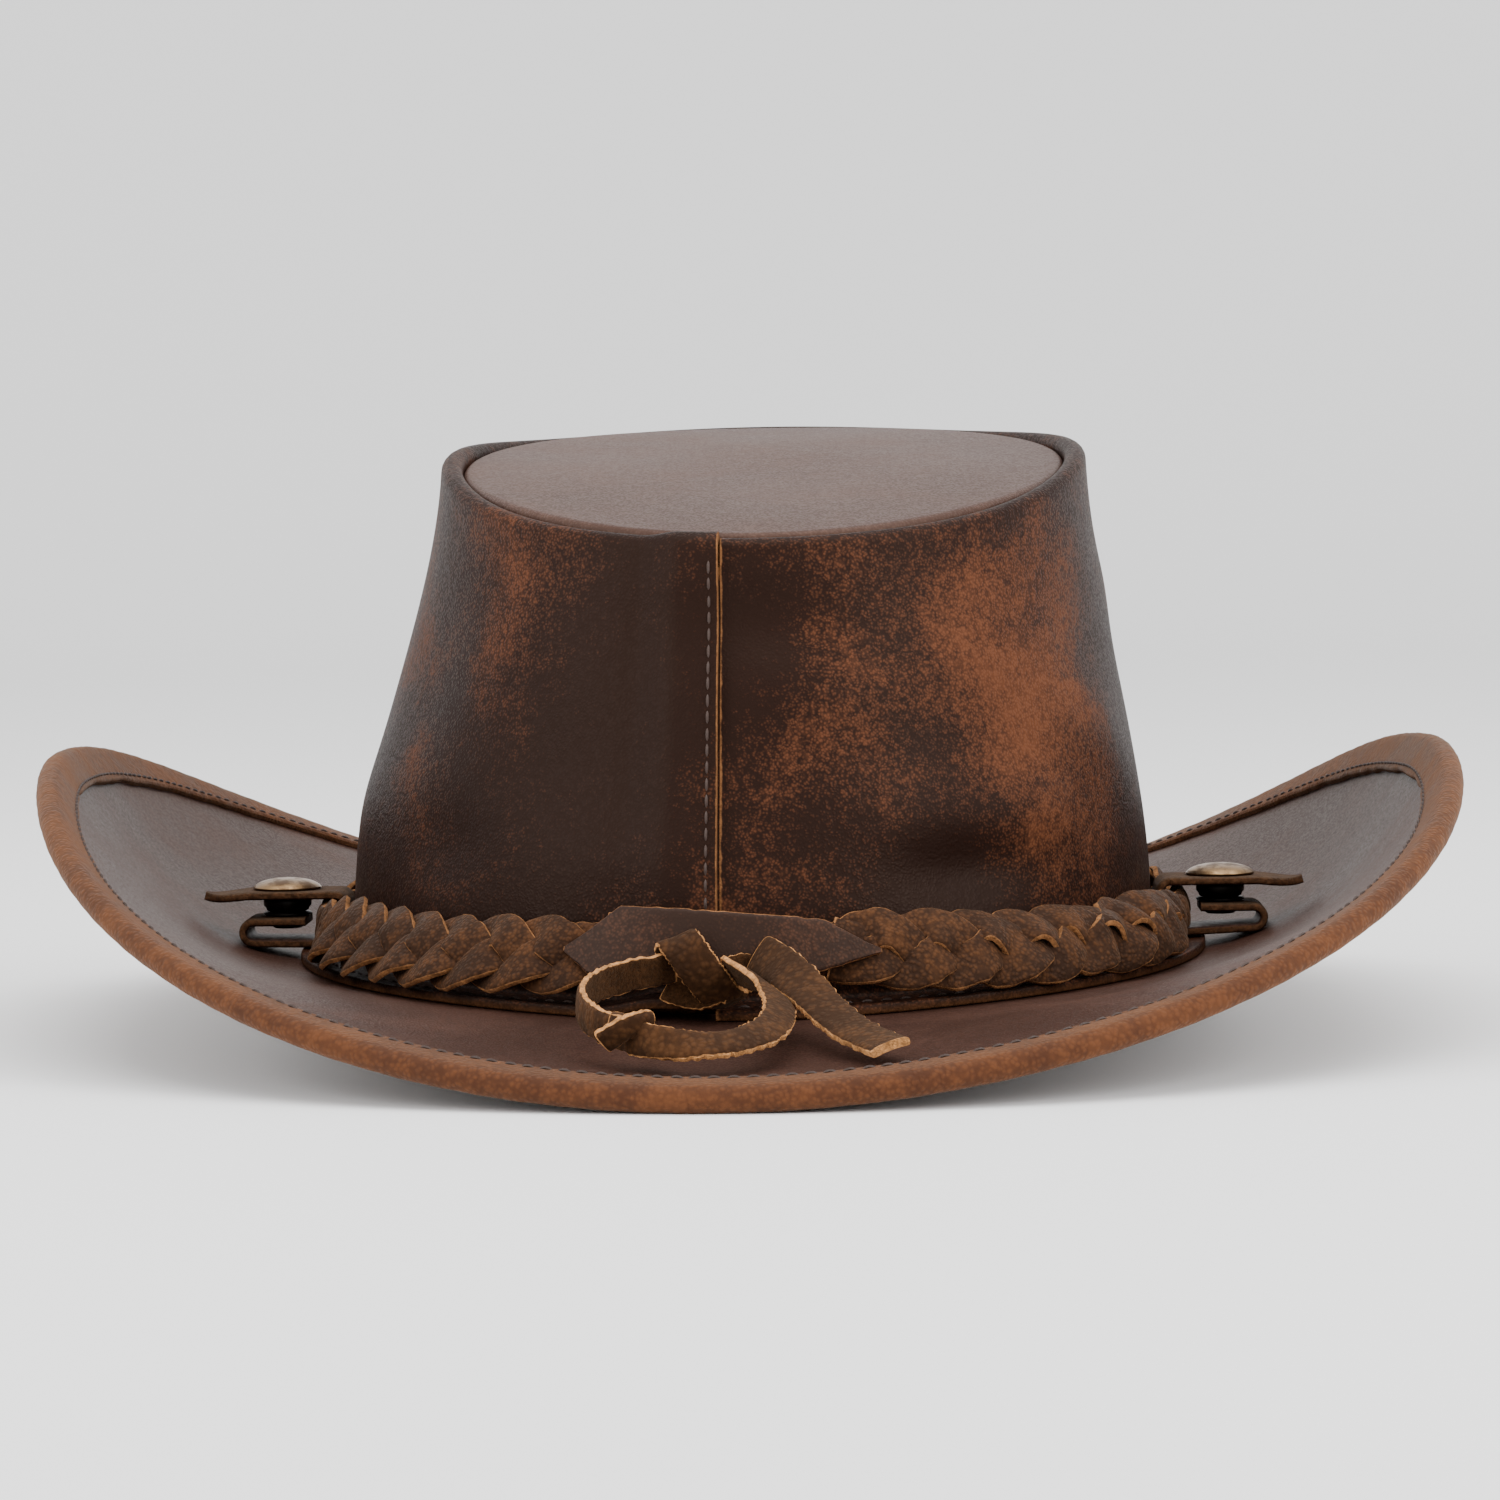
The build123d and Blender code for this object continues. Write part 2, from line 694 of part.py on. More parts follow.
KNOT_HALF_HEIGHT, KNOT_THICKNESS, KNOT_HALF_WIDTH = 5.5, 4.5, 8.0
KNOT_SHANK = 0.4            # play of the lace in its hole
with BuildPart() as lace_knot:
    with BuildSketch(section_plane(LACE_ANGLE)):
        inside = OUTER_TAB_IN + TAB + 0.6
        corners = [(-KNOT_HALF_HEIGHT - 1, inside), (-KNOT_HALF_HEIGHT - 1, inside + KNOT_THICKNESS),
                   (KNOT_HALF_HEIGHT - 1, inside + KNOT_THICKNESS), (KNOT_HALF_HEIGHT - 1, inside)]
        corner_face([band_point(LACE_ANGLE, up, out) for up, out in corners])
    extrude(amount=KNOT_HALF_WIDTH, both=True)
    fillet(lace_knot.edges().filter_by(GeomType.LINE).group_by(SortBy.LENGTH)[-1], 1.2)
    extrude(lace_hole(KNOT_SHANK), amount=2 * TAB + 2)


def corner_radii(points):
    """Arc radius at each corner: as large as the two runs that meet there allow."""
    radii = []
    for a, b, c in zip(points, points[1:], points[2:]):
        first, second = Vector(*b) - Vector(*a), Vector(*c) - Vector(*b)
        turn = math.radians(first.get_angle(second))
        radii.append(0.45 * min(first.length, second.length) / math.tan(turn / 2))
    return radii


def ribbon(points, name):
    """Flat ribbon outline along a route with rounded corners, and its length."""
    radii = corner_radii(points)
    with BuildLine() as line:
        route = FilletPolyline(*points, radius=radii)
    trace(line.edges(), line_width=LACE)
    print(name, "length", round(route.length, 1), "radii", [round(r, 1) for r in radii])
    return route.length


loop_plane = Plane(
    origin=Vector(0, LOOP_START_Y, LOOP_START_HEIGHT),
    x_dir=(1, 0, 0),
    z_dir=Vector(0, LOOP_SLOPE, -1).normalized(),
)
with BuildPart() as lace_loop:
    with BuildSketch(loop_plane):
        loop_length = ribbon(LOOP_POINTS, "lace_loop")
    extrude(amount=LACE_WIDTH / 2, both=True)

tail_out = Vector(math.cos(math.radians(TAIL_HEADING)), math.sin(math.radians(TAIL_HEADING)), 0)
tail_plane = Plane(
    origin=Vector(*TAIL_START, 0),
    x_dir=tail_out,
    z_dir=(tail_out.Y, -tail_out.X, 0),
)
with BuildPart() as lace_tail:
    with BuildSketch(tail_plane):
        tail_length = ribbon(TAIL_POINTS, "lace_tail")
    extrude(amount=LACE_WIDTH / 2, both=True)

END_KNOT_AT = 5             # corner of the loop's route at which its end is tied in
END_KNOT_SIZE = (7.5, 9.5, 8.0)
with BuildPart() as lace_end_knot:
    spot = loop_plane.from_local_coords(Vector(*LOOP_POINTS[END_KNOT_AT], 0))
    heading = Plane(origin=spot, x_dir=(0.7, -0.7, 0), z_dir=loop_plane.z_dir)
    with BuildSketch(heading.offset(-END_KNOT_SIZE[1] / 2)):
        RectangleRounded(END_KNOT_SIZE[0], END_KNOT_SIZE[2], 1.5)
    extrude(amount=END_KNOT_SIZE[1])

for name, part, length in (("loop", lace_loop, loop_length), ("tail", lace_tail, tail_length)):
    print(name, "volume", round(part.part.volume), "section x length", round(length * LACE * LACE_WIDTH))


# ---- keepers --------------------------------------------------------------------------------

def keeper(angle, side):
    """Strap, flap and snap of one keeper, on the upright plane at the given angle."""
    plane = section_plane(angle)
    floor = base_height(angle) + FLANGE_TOP + STRAP_REST_GAP + STRAP / 2
    outer_low = brim_middle(angle, STRAP_REACH) + LEATHER / 2 + STRAP_REST_GAP + STRAP / 2
    stud_leg = outer_low + 2 * FOLD_RADIUS
    disc_low = stud_leg + STRAP / 2 + FACE_GAP
    socket_low = disc_low + SNAP_DISC + 0.1
    flap_low = socket_low + SOCKET_HEIGHT + FACE_GAP
    hinge = flap_low + STRAP / 2
    cap_low = flap_low + STRAP + FACE_GAP
    flat = Plane(origin=plane.origin, x_dir=plane.x_dir, z_dir=(0, 0, 1))

    snap_axis = Axis(plane.from_local_coords(Vector(SNAP_REACH, 0, 0)), (0, 0, 1))

    def at(z):
        return flat.offset(z)

    with BuildPart() as loop_part:
        with BuildSketch(plane):
            with BuildLine():
                wall = Line((HINGE_REACH, hinge - 1.6), (HINGE_REACH, floor + 2))
                first = TangentArc(wall @ 1, (HINGE_REACH + 2, floor), tangent=wall % 1)
                run = Line(first @ 1, (STRAP_REACH, outer_low))
                fold = ThreePointArc(
                    run @ 1,
                    (STRAP_REACH + FOLD_RADIUS, outer_low + FOLD_RADIUS),
                    (STRAP_REACH, stud_leg),
                )
                Line(fold @ 1, (STUD_LEG_END, stud_leg))
            trace(line_width=STRAP)
        extrude(amount=STRAP_WIDTH / 2, both=True)
        with BuildSketch(at(stud_leg - STRAP)):
            with Locations((SNAP_REACH, 0)):
                Circle(SHANK_RADIUS + SHANK_PLAY)
        extrude(amount=2 * STRAP, mode=Mode.SUBTRACT)

    with BuildPart() as flap:
        with BuildSketch(at(flap_low)):
            half = STRAP_WIDTH / 2
            with BuildLine():
                Polyline(
                    (HINGE_REACH, -half), (FLAP_TIP - FLAP_POINT, -half), (FLAP_TIP, 0),
                    (FLAP_TIP - FLAP_POINT, half), (HINGE_REACH, half), close=True,
                )
            make_face()
        extrude(amount=STRAP)
        with BuildSketch(plane):
            with Locations((HINGE_REACH, hinge)):
                Circle(STRAP / 2)
        extrude(amount=STRAP_WIDTH / 2, both=True)
        with BuildSketch(at(flap_low)):
            with Locations((SNAP_REACH, 0)):
                Circle(SHANK_RADIUS + SHANK_PLAY)
        extrude(amount=STRAP, mode=Mode.SUBTRACT)

    def turned(points):
        """Profile on the snap's own upright half plane, spun about the snap's axis."""
        with BuildSketch(plane) as profile:
            corner_face([(SNAP_REACH + r, z) for r, z in points])
        revolve(profile.sketch, axis=snap_axis)

    dome = [(cap_low + CAP_RISE * math.cos(a), CAP_RADIUS * math.sin(a)) for a in DOME_TURNS]
    with BuildPart() as cap:
        turned([
            (0, flap_low - 0.6), (SHANK_RADIUS, flap_low - 0.6), (SHANK_RADIUS, cap_low),
            (CAP_RADIUS, cap_low), *[(r, z) for z, r in dome], (0, cap_low + CAP_RISE),
        ])

    socket_top = socket_low + SOCKET_HEIGHT
    with BuildPart() as socket:
        turned([
            (SOCKET_BORE_RADIUS, socket_low), (SNAP_DISC_RADIUS - 1, socket_low),
            (SNAP_DISC_RADIUS, socket_low + 1), (SNAP_DISC_RADIUS, socket_top),
            (SHANK_RADIUS + SHANK_PLAY, socket_top), (SHANK_RADIUS + SHANK_PLAY, socket_top - 0.7),
            (SOCKET_BORE_RADIUS, socket_top - 0.7),
        ])

    with BuildPart() as stud:
        top = disc_low + SNAP_DISC
        turned([
            (SHANK_RADIUS + SHANK_PLAY, disc_low), (SNAP_DISC_RADIUS, disc_low),
            (SNAP_DISC_RADIUS, top), (STUD_RADIUS_LOW, top),
            (STUD_RADIUS_TOP + 0.4, top + STUD_RISE), (0, top + STUD_RISE),
            (0, top + STUD_RISE - 0.5), (SHANK_RADIUS + SHANK_PLAY, top + STUD_RISE - 0.5),
        ])

    with BuildPart() as post:
        under = stud_leg - STRAP / 2 - FACE_GAP
        turned([
            (0, under - SNAP_DISC), (SNAP_DISC_RADIUS - 2, under - SNAP_DISC),
            (SNAP_DISC_RADIUS - 2, under), (SHANK_RADIUS, under),
            (SHANK_RADIUS, top + STUD_RISE - 0.7), (0, top + STUD_RISE - 0.7),
        ])

    centre = plane.from_local_coords(Vector(HINGE_REACH, hinge, 0))
    print("hinge", side, [round(value / 1000, 6) for value in (centre.X, centre.Y, centre.Z)])
    return {
        f"keeper_loop_{side}": loop_part.part,
        f"keeper_flap_{side}": flap.part,
        f"snap_cap_{side}": cap.part,
        f"snap_socket_{side}": socket.part,
        f"snap_stud_{side}": stud.part,
        f"snap_post_{side}": post.part,
    }


# ---- export ---------------------------------------------------------------------------------

pieces = {
    "brim": brim.part,
    "brim_wire": brim_wire.part,
    "brim_binding": brim_binding.part,
    "brim_binding_stitching": brim_binding_stitching.part,
    "brim_seam_stitching": brim_seam_stitching.part,
    "crown_side": crown_side.part,
    "crown_tip": crown_tip.part,
    "crown_tip_stitching": crown_tip_stitching.part,
    "crown_back_seam_stitching": crown_back_seam_stitching.part,
    "sweatband": sweatband.part,
    "sweatband_stitching": sweatband_stitching.part,
    "hatband_strand_lower": strands[0],
    "hatband_strand_middle": strands[1],
    "hatband_strand_upper": strands[2],
    "hatband_outer_tab": hatband_outer_tab.part,
    "hatband_inner_tab": hatband_inner_tab.part,
    "lace_knot": lace_knot.part,
    "lace_loop": lace_loop.part,
    "lace_tail": lace_tail.part,
    "lace_end_knot": lace_end_knot.part,
}
pieces.update(keeper(0.0, "right"))
pieces.update(keeper(180.0, "left"))

os.makedirs("parts", exist_ok=True)
for name, part in pieces.items():
    part.label = name
    export_step(part, f"parts/{name}.step")
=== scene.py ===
"""Leather cowboy hat: rolled and bound brim, lapped crown, braided band, tie lace and snap keepers.

Metres, +Z up, +Y towards the front of the hat, +X towards the wearer's right.  Most pieces are
sections carried round the head oval: d is the distance outwards from the crown's outer face at
its base, z is the height, and an angle is in degrees from +X.
"""

import math

import bmesh
import bpy
import numpy as np
from bpy.props import FloatProperty, FloatVectorProperty, PointerProperty
from mathutils import Matrix, Vector


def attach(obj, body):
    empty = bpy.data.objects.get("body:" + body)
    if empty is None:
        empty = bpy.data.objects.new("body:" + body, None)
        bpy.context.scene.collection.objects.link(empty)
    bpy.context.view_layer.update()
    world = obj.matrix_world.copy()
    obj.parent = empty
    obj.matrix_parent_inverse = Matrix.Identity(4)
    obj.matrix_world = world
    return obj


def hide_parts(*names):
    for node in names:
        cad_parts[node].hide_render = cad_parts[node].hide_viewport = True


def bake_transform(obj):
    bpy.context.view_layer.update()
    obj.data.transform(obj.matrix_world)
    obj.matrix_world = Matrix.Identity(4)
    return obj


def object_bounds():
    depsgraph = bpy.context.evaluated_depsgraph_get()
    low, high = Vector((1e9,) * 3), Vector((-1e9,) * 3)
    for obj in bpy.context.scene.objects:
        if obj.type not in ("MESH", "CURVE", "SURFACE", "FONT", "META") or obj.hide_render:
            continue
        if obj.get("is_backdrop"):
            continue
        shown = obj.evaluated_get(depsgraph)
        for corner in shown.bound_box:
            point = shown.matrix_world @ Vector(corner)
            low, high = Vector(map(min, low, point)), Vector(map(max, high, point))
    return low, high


bl_info = {
    "name": "Leather Cowboy Hat",
    "version": (1, 0, 0),
    "blender": (4, 5, 0),
    "location": "3D View > Sidebar > Hat",
    "description": "Makes a leather cowboy hat with a braided band, piece by piece",
    "category": "Add Mesh",
}

MM = 0.001
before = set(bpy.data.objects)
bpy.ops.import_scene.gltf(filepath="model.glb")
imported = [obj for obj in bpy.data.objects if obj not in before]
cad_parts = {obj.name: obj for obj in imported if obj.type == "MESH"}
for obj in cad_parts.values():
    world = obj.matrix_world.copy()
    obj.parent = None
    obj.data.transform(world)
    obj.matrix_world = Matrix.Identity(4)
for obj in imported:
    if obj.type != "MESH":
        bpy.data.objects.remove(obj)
CAD_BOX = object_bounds()
HAT = "hat"


# ---- settings -------------------------------------------------------------------------------

def length(name, description, millimetres):
    """A size setting in metres, from its default in millimetres."""
    return FloatProperty(name=name, description=description, default=millimetres * MM, unit="LENGTH")


def colour(name, description, value):
    """A colour setting."""
    return FloatVectorProperty(
        name=name, description=description, default=value, subtype="COLOR", size=3, min=0.0, max=1.0
    )


class HatSizes(bpy.types.PropertyGroup):
    """Sizes of the hat's leather pieces."""

    head_half_width: length("Head half width", "Crown's outer face at its base, half across", 89.0)
    head_half_length: length("Head half length", "Crown's outer face at its base, half along", 108.0)
    leather: length("Leather", "Thickness of the crown and brim leather", 2.2)
    binding: length("Binding leather", "Thickness of the binding", 1.6)
    binding_leg: length("Binding leg", "Width of each leg of the binding", 8.0)
    crest_rise: length("Crest rise", "Rise of the rolled sides above the front and back edges", 55.5)
    brim_reach_end: length("Brim at the ends", "Plan width of the brim, front and back", 84.0)
    brim_reach_side: length("Brim at the sides", "Plan width of the brim at the crests", 64.5)
    top_inset: length("Top inset", "How far the top stands in from the base", 17.5)
    top_height: length("Top height", "Top of the rolled rim at the middle of the sides", 122.5)
    sweatband_height: length("Sweatband height", "Height of the sweatband", 32.0)
    braid_half_height: length("Braid half height", "Half height of the braided band", 9.0)
    braid_lobe: length("Braid lobe", "Distance between two lobes on one edge of the braid", 12.0)
    strand_half_width: length("Strand half width", "Half width of a braided strand", 4.6)
    strand_thickness: length("Strand thickness", "Thickness of a braided strand", 1.7)
    lace_width: length("Lace width", "Width of the tie lace", 9.0)
    lace_thickness: length("Lace thickness", "Thickness of the tie lace", 1.8)
    strap_width: length("Strap width", "Width of a keeper strap", 18.0)
    strap: length("Strap", "Thickness of a keeper strap", 2.0)
    stitch: length("Stitch", "Length of one stitch that shows", 2.7)
    stitch_pitch: length("Stitch pitch", "Distance from one stitch to the next", 3.7)
    thread_radius: length("Thread radius", "Half thickness of the thread", 0.33)


class HatColours(bpy.types.PropertyGroup):
    """Colours of the hat's materials."""

    dark: colour("Dark leather", "Leather where its wax lies undisturbed", (0.0125, 0.0052, 0.0036))
    worn: colour("Worn leather", "Leather where bending and rubbing moved the wax", (0.115, 0.040, 0.018))
    brim: colour("Brim leather", "Middle tone of the brim", (0.030, 0.0125, 0.0085))
    binding: colour("Binding leather", "Rubbed leather of the binding", (0.105, 0.038, 0.0155))
    flesh: colour("Flesh side", "Fuzzy back of the leather", (0.060, 0.024, 0.0095))
    cut: colour("Cut edge", "Raw cut edge of the leather", (0.240, 0.105, 0.040))
    thread: colour("Thread", "Waxed thread", (0.018, 0.009, 0.007))
    brass: colour("Brass", "Antique brass of the snap caps", (0.260, 0.165, 0.085))
    # Near-black of the snap socket, stud and post: partly their own dark metal and partly painted shade, as they
    # sit in shadow between the keeper straps.
    black_and_shade: colour("Black metal and painted shade", "Snap parts: dark metal and painted shade", (0.012, 0.011, 0.011))
    steel: colour("Wire", "Wire in the brim's edge", (0.450, 0.440, 0.420))
    floor: colour("Floor", "Floor and backdrop", (0.930, 0.930, 0.930))


class StageSettings(bpy.types.PropertyGroup):
    """Camera and lights."""

    distance: length("Camera distance", "From the camera to the hat's middle", 1300.0)
    azimuth: FloatProperty(name="Azimuth", description="Turn round the hat from its back",
                           default=math.radians(1.5), subtype="ANGLE")
    elevation: FloatProperty(name="Elevation", description="Height angle of the camera",
                             default=math.radians(3.8), subtype="ANGLE")
    roll: FloatProperty(name="Roll", description="Turn of the camera about its own axis",
                        default=math.radians(-0.9), subtype="ANGLE")
    lens: FloatProperty(name="Lens", description="Focal length in millimetres", default=139.2)
    top_light: FloatProperty(name="Top light", description="Power of the light overhead", default=20.0)
    side_light: FloatProperty(name="Side light", description="Power of the light at the right", default=20.0)
    fill_light: FloatProperty(name="Fill light", description="Power of the light at the left", default=12.0)
    sky: FloatProperty(name="Surroundings", description="Strength of the pale surroundings", default=1.35)


def sizes():
    return bpy.context.scene.hat_sizes


def colours():
    return bpy.context.scene.hat_colours


# ---- shape of the hat, in whole arrays ------------------------------------------------------

BASE_BACK, BASE_RISE_FRONT, BASE_RISE_SIDE = 10 * MM, 2 * MM, 2.3 * MM
CREST_LEAN, CREST_EASE, CREST_SHOULDER = -1.5 * MM, 0.15, 0.45
REACH_CORNER, REACH_LEFT, REACH_TWIST = 6 * MM, 2 * MM, -4 * MM
CURL_END, CURL_SIDE = 1.2, 2.6
AIR = 0.15 * MM
WIRE_RADIUS, WIRE_PLAY = 1 * MM, 0.2 * MM
INSET_PITCH, INSET_SIDE = 3 * MM, 4 * MM
TOP_SLOPE, TOP_BOW, RIM_SIDE = 0.13, 0.2, 4.5 * MM
FLANGE, BEND_RADIUS, ROLL_RADIUS, ALLOWANCE = 12 * MM, 3 * MM, 1.3 * MM, 8 * MM
SEAM_SHIFT, LAP_WIDTH, LAP_RAMP, LAP_GAP = -4.3 * MM, 6.5, 8.0, 0.3
TIP_DROP, TIP_DOME = 1 * MM, 3 * MM
SWEATBAND, SWEATBAND_GAP = 1.2 * MM, 0.4 * MM


def trig(angle):
    """Cosine and sine of an angle in degrees."""
    turn = np.radians(angle)
    return np.cos(turn), np.sin(turn)


def unit(d, z):
    """A pair of arrays scaled to length one."""
    size = np.hypot(d, z)
    return d / size, z / size


def base_height(angle):
    """Height of the middle of the brim leather at the crown: a base, a rise forwards and one sideways."""
    c, s = trig(angle)
    return BASE_BACK + BASE_RISE_FRONT * (1 + s) / 2 + BASE_RISE_SIDE * c * c


def roll_radius():
    """Outer radius of the bound edge: half the leather, some air and the binding."""
    return sizes().leather / 2 + AIR + sizes().binding


def edge_height(angle):
    """Height of the edge wire: a power of the cosine, plus a lean of the two crests."""
    c, s = trig(angle)
    rest = roll_radius() + CREST_LEAN**2 / sizes().crest_rise
    power = np.where(s < 0, 2.0, 1.4)
    ease = CREST_EASE**power
    crest = ((c * c + CREST_EASE**2) ** (power / 2) - ease) / ((1 + CREST_EASE**2) ** (power / 2) - ease)
    crest = crest + np.where(s < 0, 0.0, CREST_SHOULDER) * c**4 * (1 - c * c)
    return rest + sizes().crest_rise * crest + 2 * CREST_LEAN * s * c


def brim_reach(angle):
    """Plan distance from the crown to the wire: ends, sides, corners and a small twist."""
    c, s = trig(angle)
    end, side = sizes().brim_reach_end, sizes().brim_reach_side
    corner = REACH_CORNER * (2 * s * c) ** 2 + REACH_TWIST * 2 * s * c
    return end + (side - end) * c * c - REACH_LEFT * c * np.abs(c) + corner


def brim_middle(angle, d):
    """Height of the middle of the brim leather: a power curve of the share of the reach."""
    low, high = base_height(angle), edge_height(angle)
    curl = CURL_END + (CURL_SIDE - CURL_END) * trig(angle)[0] ** 2
    return low + (high - low) * (np.maximum(d, 0) / brim_reach(angle)) ** curl


def brim_point(angle, d, offset):
    """Point at an offset above the middle of the brim, square to it."""
    step = 0.05 * MM
    slope = (brim_middle(angle, d + step) - brim_middle(angle, d - step)) / (2 * step)
    nd, nz = unit(-slope, np.ones_like(slope))
    return d + offset * nd, brim_middle(angle, d) + offset * nz


def edge_frame(angle):
    """Wire centre, and the direction in which the brim leaves through it."""
    reach, step = brim_reach(angle), 0.05 * MM
    rise = (brim_middle(angle, reach) - brim_middle(angle, reach - step)) / step
    out, up = unit(np.ones_like(rise), rise)
    return reach, edge_height(angle), out, up


def oval_normal(angle):
    """Outward plan normal of the head oval."""
    c, s = trig(angle)
    return unit(sizes().head_half_length * c, sizes().head_half_width * s)


def oval_point(angle, d):
    """Plan point at a distance outside the head oval, before centring."""
    c, s = trig(angle)
    nx, ny = oval_normal(angle)
    return sizes().head_half_width * c + d * nx, sizes().head_half_length * s + d * ny


def centring():
    """Plan shift that puts the middle of the bound edge's box on the axis."""
    angle = np.arange(360.0)
    d, _, out, _ = edge_frame(angle)
    x, y = oval_point(angle, d + roll_radius() * out)
    return -(x.min() + x.max()) / 2, -(y.min() + y.max()) / 2


def place(angle, d, z):
    """Section points in the hat's own frame, as an array of x, y, z."""
    x, y = oval_point(angle, d)
    dx, dy = centring()
    return np.stack(np.broadcast_arrays(x + dx, y + dy, z), axis=-1)


def angle_at(x, d):
    """Angle of the section at the back that passes through x, by halving."""
    low, high = -180.0, 0.0
    for _ in range(40):
        middle = (low + high) / 2
        if oval_point(middle, d)[0] < x:
            low = middle
        else:
            high = middle
    return (low + high) / 2


def seam():
    return angle_at(SEAM_SHIFT, 0.0)


def flange_top():
    """Top of the crown's flange above the middle of the brim leather."""
    return sizes().leather * 1.5 + AIR


def top_inset(angle):
    """How far the rim stands in from the base, more at the front."""
    c, s = trig(angle)
    return sizes().top_inset + INSET_PITCH * s - INSET_SIDE * c


def top_height(y):
    """Height of the rim: it climbs to the front and droops at both ends."""
    return sizes().top_height + TOP_SLOPE * y - TOP_BOW * y * y


def rim_height(angle):
    return top_height(oval_point(angle, -top_inset(angle))[1]) + RIM_SIDE * trig(angle)[0] ** 6


def wall_inset(t):
    """Share of the inset reached at the share t of the wall's height: a cubic, steep low down."""
    return -0.21 * t + 3.06 * t**2 - 1.85 * t**3


def wall_span(angle):
    """Heights between which the crown's wall runs."""
    low = brim_middle(angle, 0.0) + flange_top() - sizes().leather / 2 + BEND_RADIUS
    return low, rim_height(angle) - sizes().leather / 2 - ROLL_RADIUS


def wall_point(angle, z, offset):
    """Point of the wall at a height, offset outwards from its outer face."""
    low, high = wall_span(angle)
    t = (z - low) / (high - low)
    step = 0.01
    lean = top_inset(angle) * (wall_inset(t + step) - wall_inset(t)) / (step * (high - low))
    nd, nz = unit(np.ones_like(lean), lean)
    depth = -top_inset(angle) * np.where(t > 0, wall_inset(t), 0.0)
    return depth + offset * nd, z + offset * nz


# Soft dents and swells of the crown's wall: angle and height of the middle, how far each
# reaches, and how far it moves the leather outwards.
SWELLS = [
    (-86.0, 92.0, 9.0, 9.0, -2.2), (-78.0, 77.0, 14.0, 11.0, 1.6), (-93.0, 104.0, 16.0, 8.0, 0.9),
    (-57.0, 39.0, 11.0, 7.0, -2.4), (-45.0, 50.0, 9.0, 9.0, 1.8), (-66.0, 52.0, 12.0, 9.0, 1.2),
    (-28.0, 66.0, 12.0, 11.0, 2.0), (-22.0, 84.0, 12.0, 10.0, -1.2), (-52.0, 82.0, 13.0, 12.0, 1.0),
    (-118.0, 60.0, 14.0, 14.0, -1.3), (-138.0, 44.0, 10.0, 10.0, -1.6), (-128.0, 90.0, 13.0, 12.0, 0.9),
    (-152.0, 78.0, 12.0, 14.0, -1.2), (-104.0, 42.0, 10.0, 8.0, 1.0), (-170.0, 50.0, 12.0, 12.0, 1.1),
    (40.0, 70.0, 18.0, 16.0, -2.0), (66.0, 92.0, 16.0, 12.0, 1.4), (95.0, 60.0, 20.0, 14.0, -1.5),
    (128.0, 84.0, 16.0, 14.0, 1.6), (150.0, 48.0, 14.0, 10.0, -1.4), (20.0, 46.0, 12.0, 10.0, 1.3),
    (110.0, 104.0, 14.0, 8.0, -1.2), (8.0, 96.0, 14.0, 10.0, 1.0),
]


def swell(angle, z):
    """Outward movement of the wall: a sum of bell curves in angle and height."""
    total = np.zeros(np.broadcast(angle, z).shape)
    for middle, height, wide, tall, rise in SWELLS:
        away = (angle - middle + 180) % 360 - 180
        total += rise * MM * np.exp(-((away / wide) ** 2) - ((z - height * MM) / (tall * MM)) ** 2)
    low, high = wall_span(angle)
    share = np.clip((z - low) / (high - low), 0, 1)
    return total * np.clip(share / 0.12, 0, 1) * np.clip((1 - share) / 0.08, 0, 1)


# ---- meshes ---------------------------------------------------------------------------------

def fray(count, seed, size, grip=1):
    """Seeded roughness of a raw edge: white noise smoothed over a few places."""
    noise = np.random.default_rng(seed).normal(size=count + 2 * grip)
    kernel = np.hanning(2 * grip + 3)[1:-1]
    return size * np.convolve(noise, kernel / np.linalg.norm(kernel), mode="valid")[:count]


def stops(width, count):
    """Distances across a strip from one cut edge to the other, closer together at both."""
    lip = np.array([0.0, 0.15, 0.45, 1.0]) * MM
    return np.r_[lip[:-1], np.linspace(lip[-1], width - lip[-1], count), width - lip[-2::-1]]


def rounding(across, half):
    """Share of the thickness at each distance: it falls off in a quarter circle at the cut edges."""
    near = np.minimum(across - across.min(), across.max() - across)
    return 1 - 0.45 * (1 - np.clip(near / half, 0, 1)) ** 2


def finish_mesh(mesh, sharp=50.0):
    """Joins doubled points, turns the faces outwards and shades the smooth ones smooth."""
    shape = bmesh.new()
    shape.from_mesh(mesh)
    bmesh.ops.remove_doubles(shape, verts=shape.verts, dist=1e-7)
    bmesh.ops.recalc_face_normals(shape, faces=shape.faces)
    shape.to_mesh(mesh)
    shape.free()
    mesh.shade_smooth()
    mesh.set_sharp_from_angle(angle=math.radians(sharp))
    mesh.update()


def add_object(name, mesh, material, body=HAT):
    """Object at the origin with one material, riding on a body."""
    piece = bpy.data.objects.new(name, mesh)
    bpy.context.scene.collection.objects.link(piece)
    if material:
        mesh.materials.append(material)
    if body:
        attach(piece, body)
    return piece


def build_mesh(name, points, faces, uvs=None, values=None):
    """Mesh from arrays of points and four-cornered faces, with a UV map and point values."""
    mesh = bpy.data.meshes.new(name)
    mesh.from_pydata(points.reshape(-1, 3), [], faces.tolist())
    if uvs is not None:
        mesh.uv_layers.new(name="UVMap").data.foreach_set("uv", uvs.astype(np.float32).ravel())
    for key, numbers in (values or {}).items():
        layer = mesh.attributes.new(key, "FLOAT", "POINT")
        layer.data.foreach_set("value", numbers.astype(np.float32).ravel())
    finish_mesh(mesh)
    return mesh


def quads(grid):
    """Corners of the faces between neighbouring places of a grid."""
    return np.stack([grid[:-1, :-1], grid[1:, :-1], grid[1:, 1:], grid[:-1, 1:]], axis=-1).reshape(-1, 4)


def pairs(first, second):
    """Corners of the faces between two lines of places that run side by side."""
    return np.stack([first[:-1], first[1:], second[1:], second[:-1]], axis=-1)


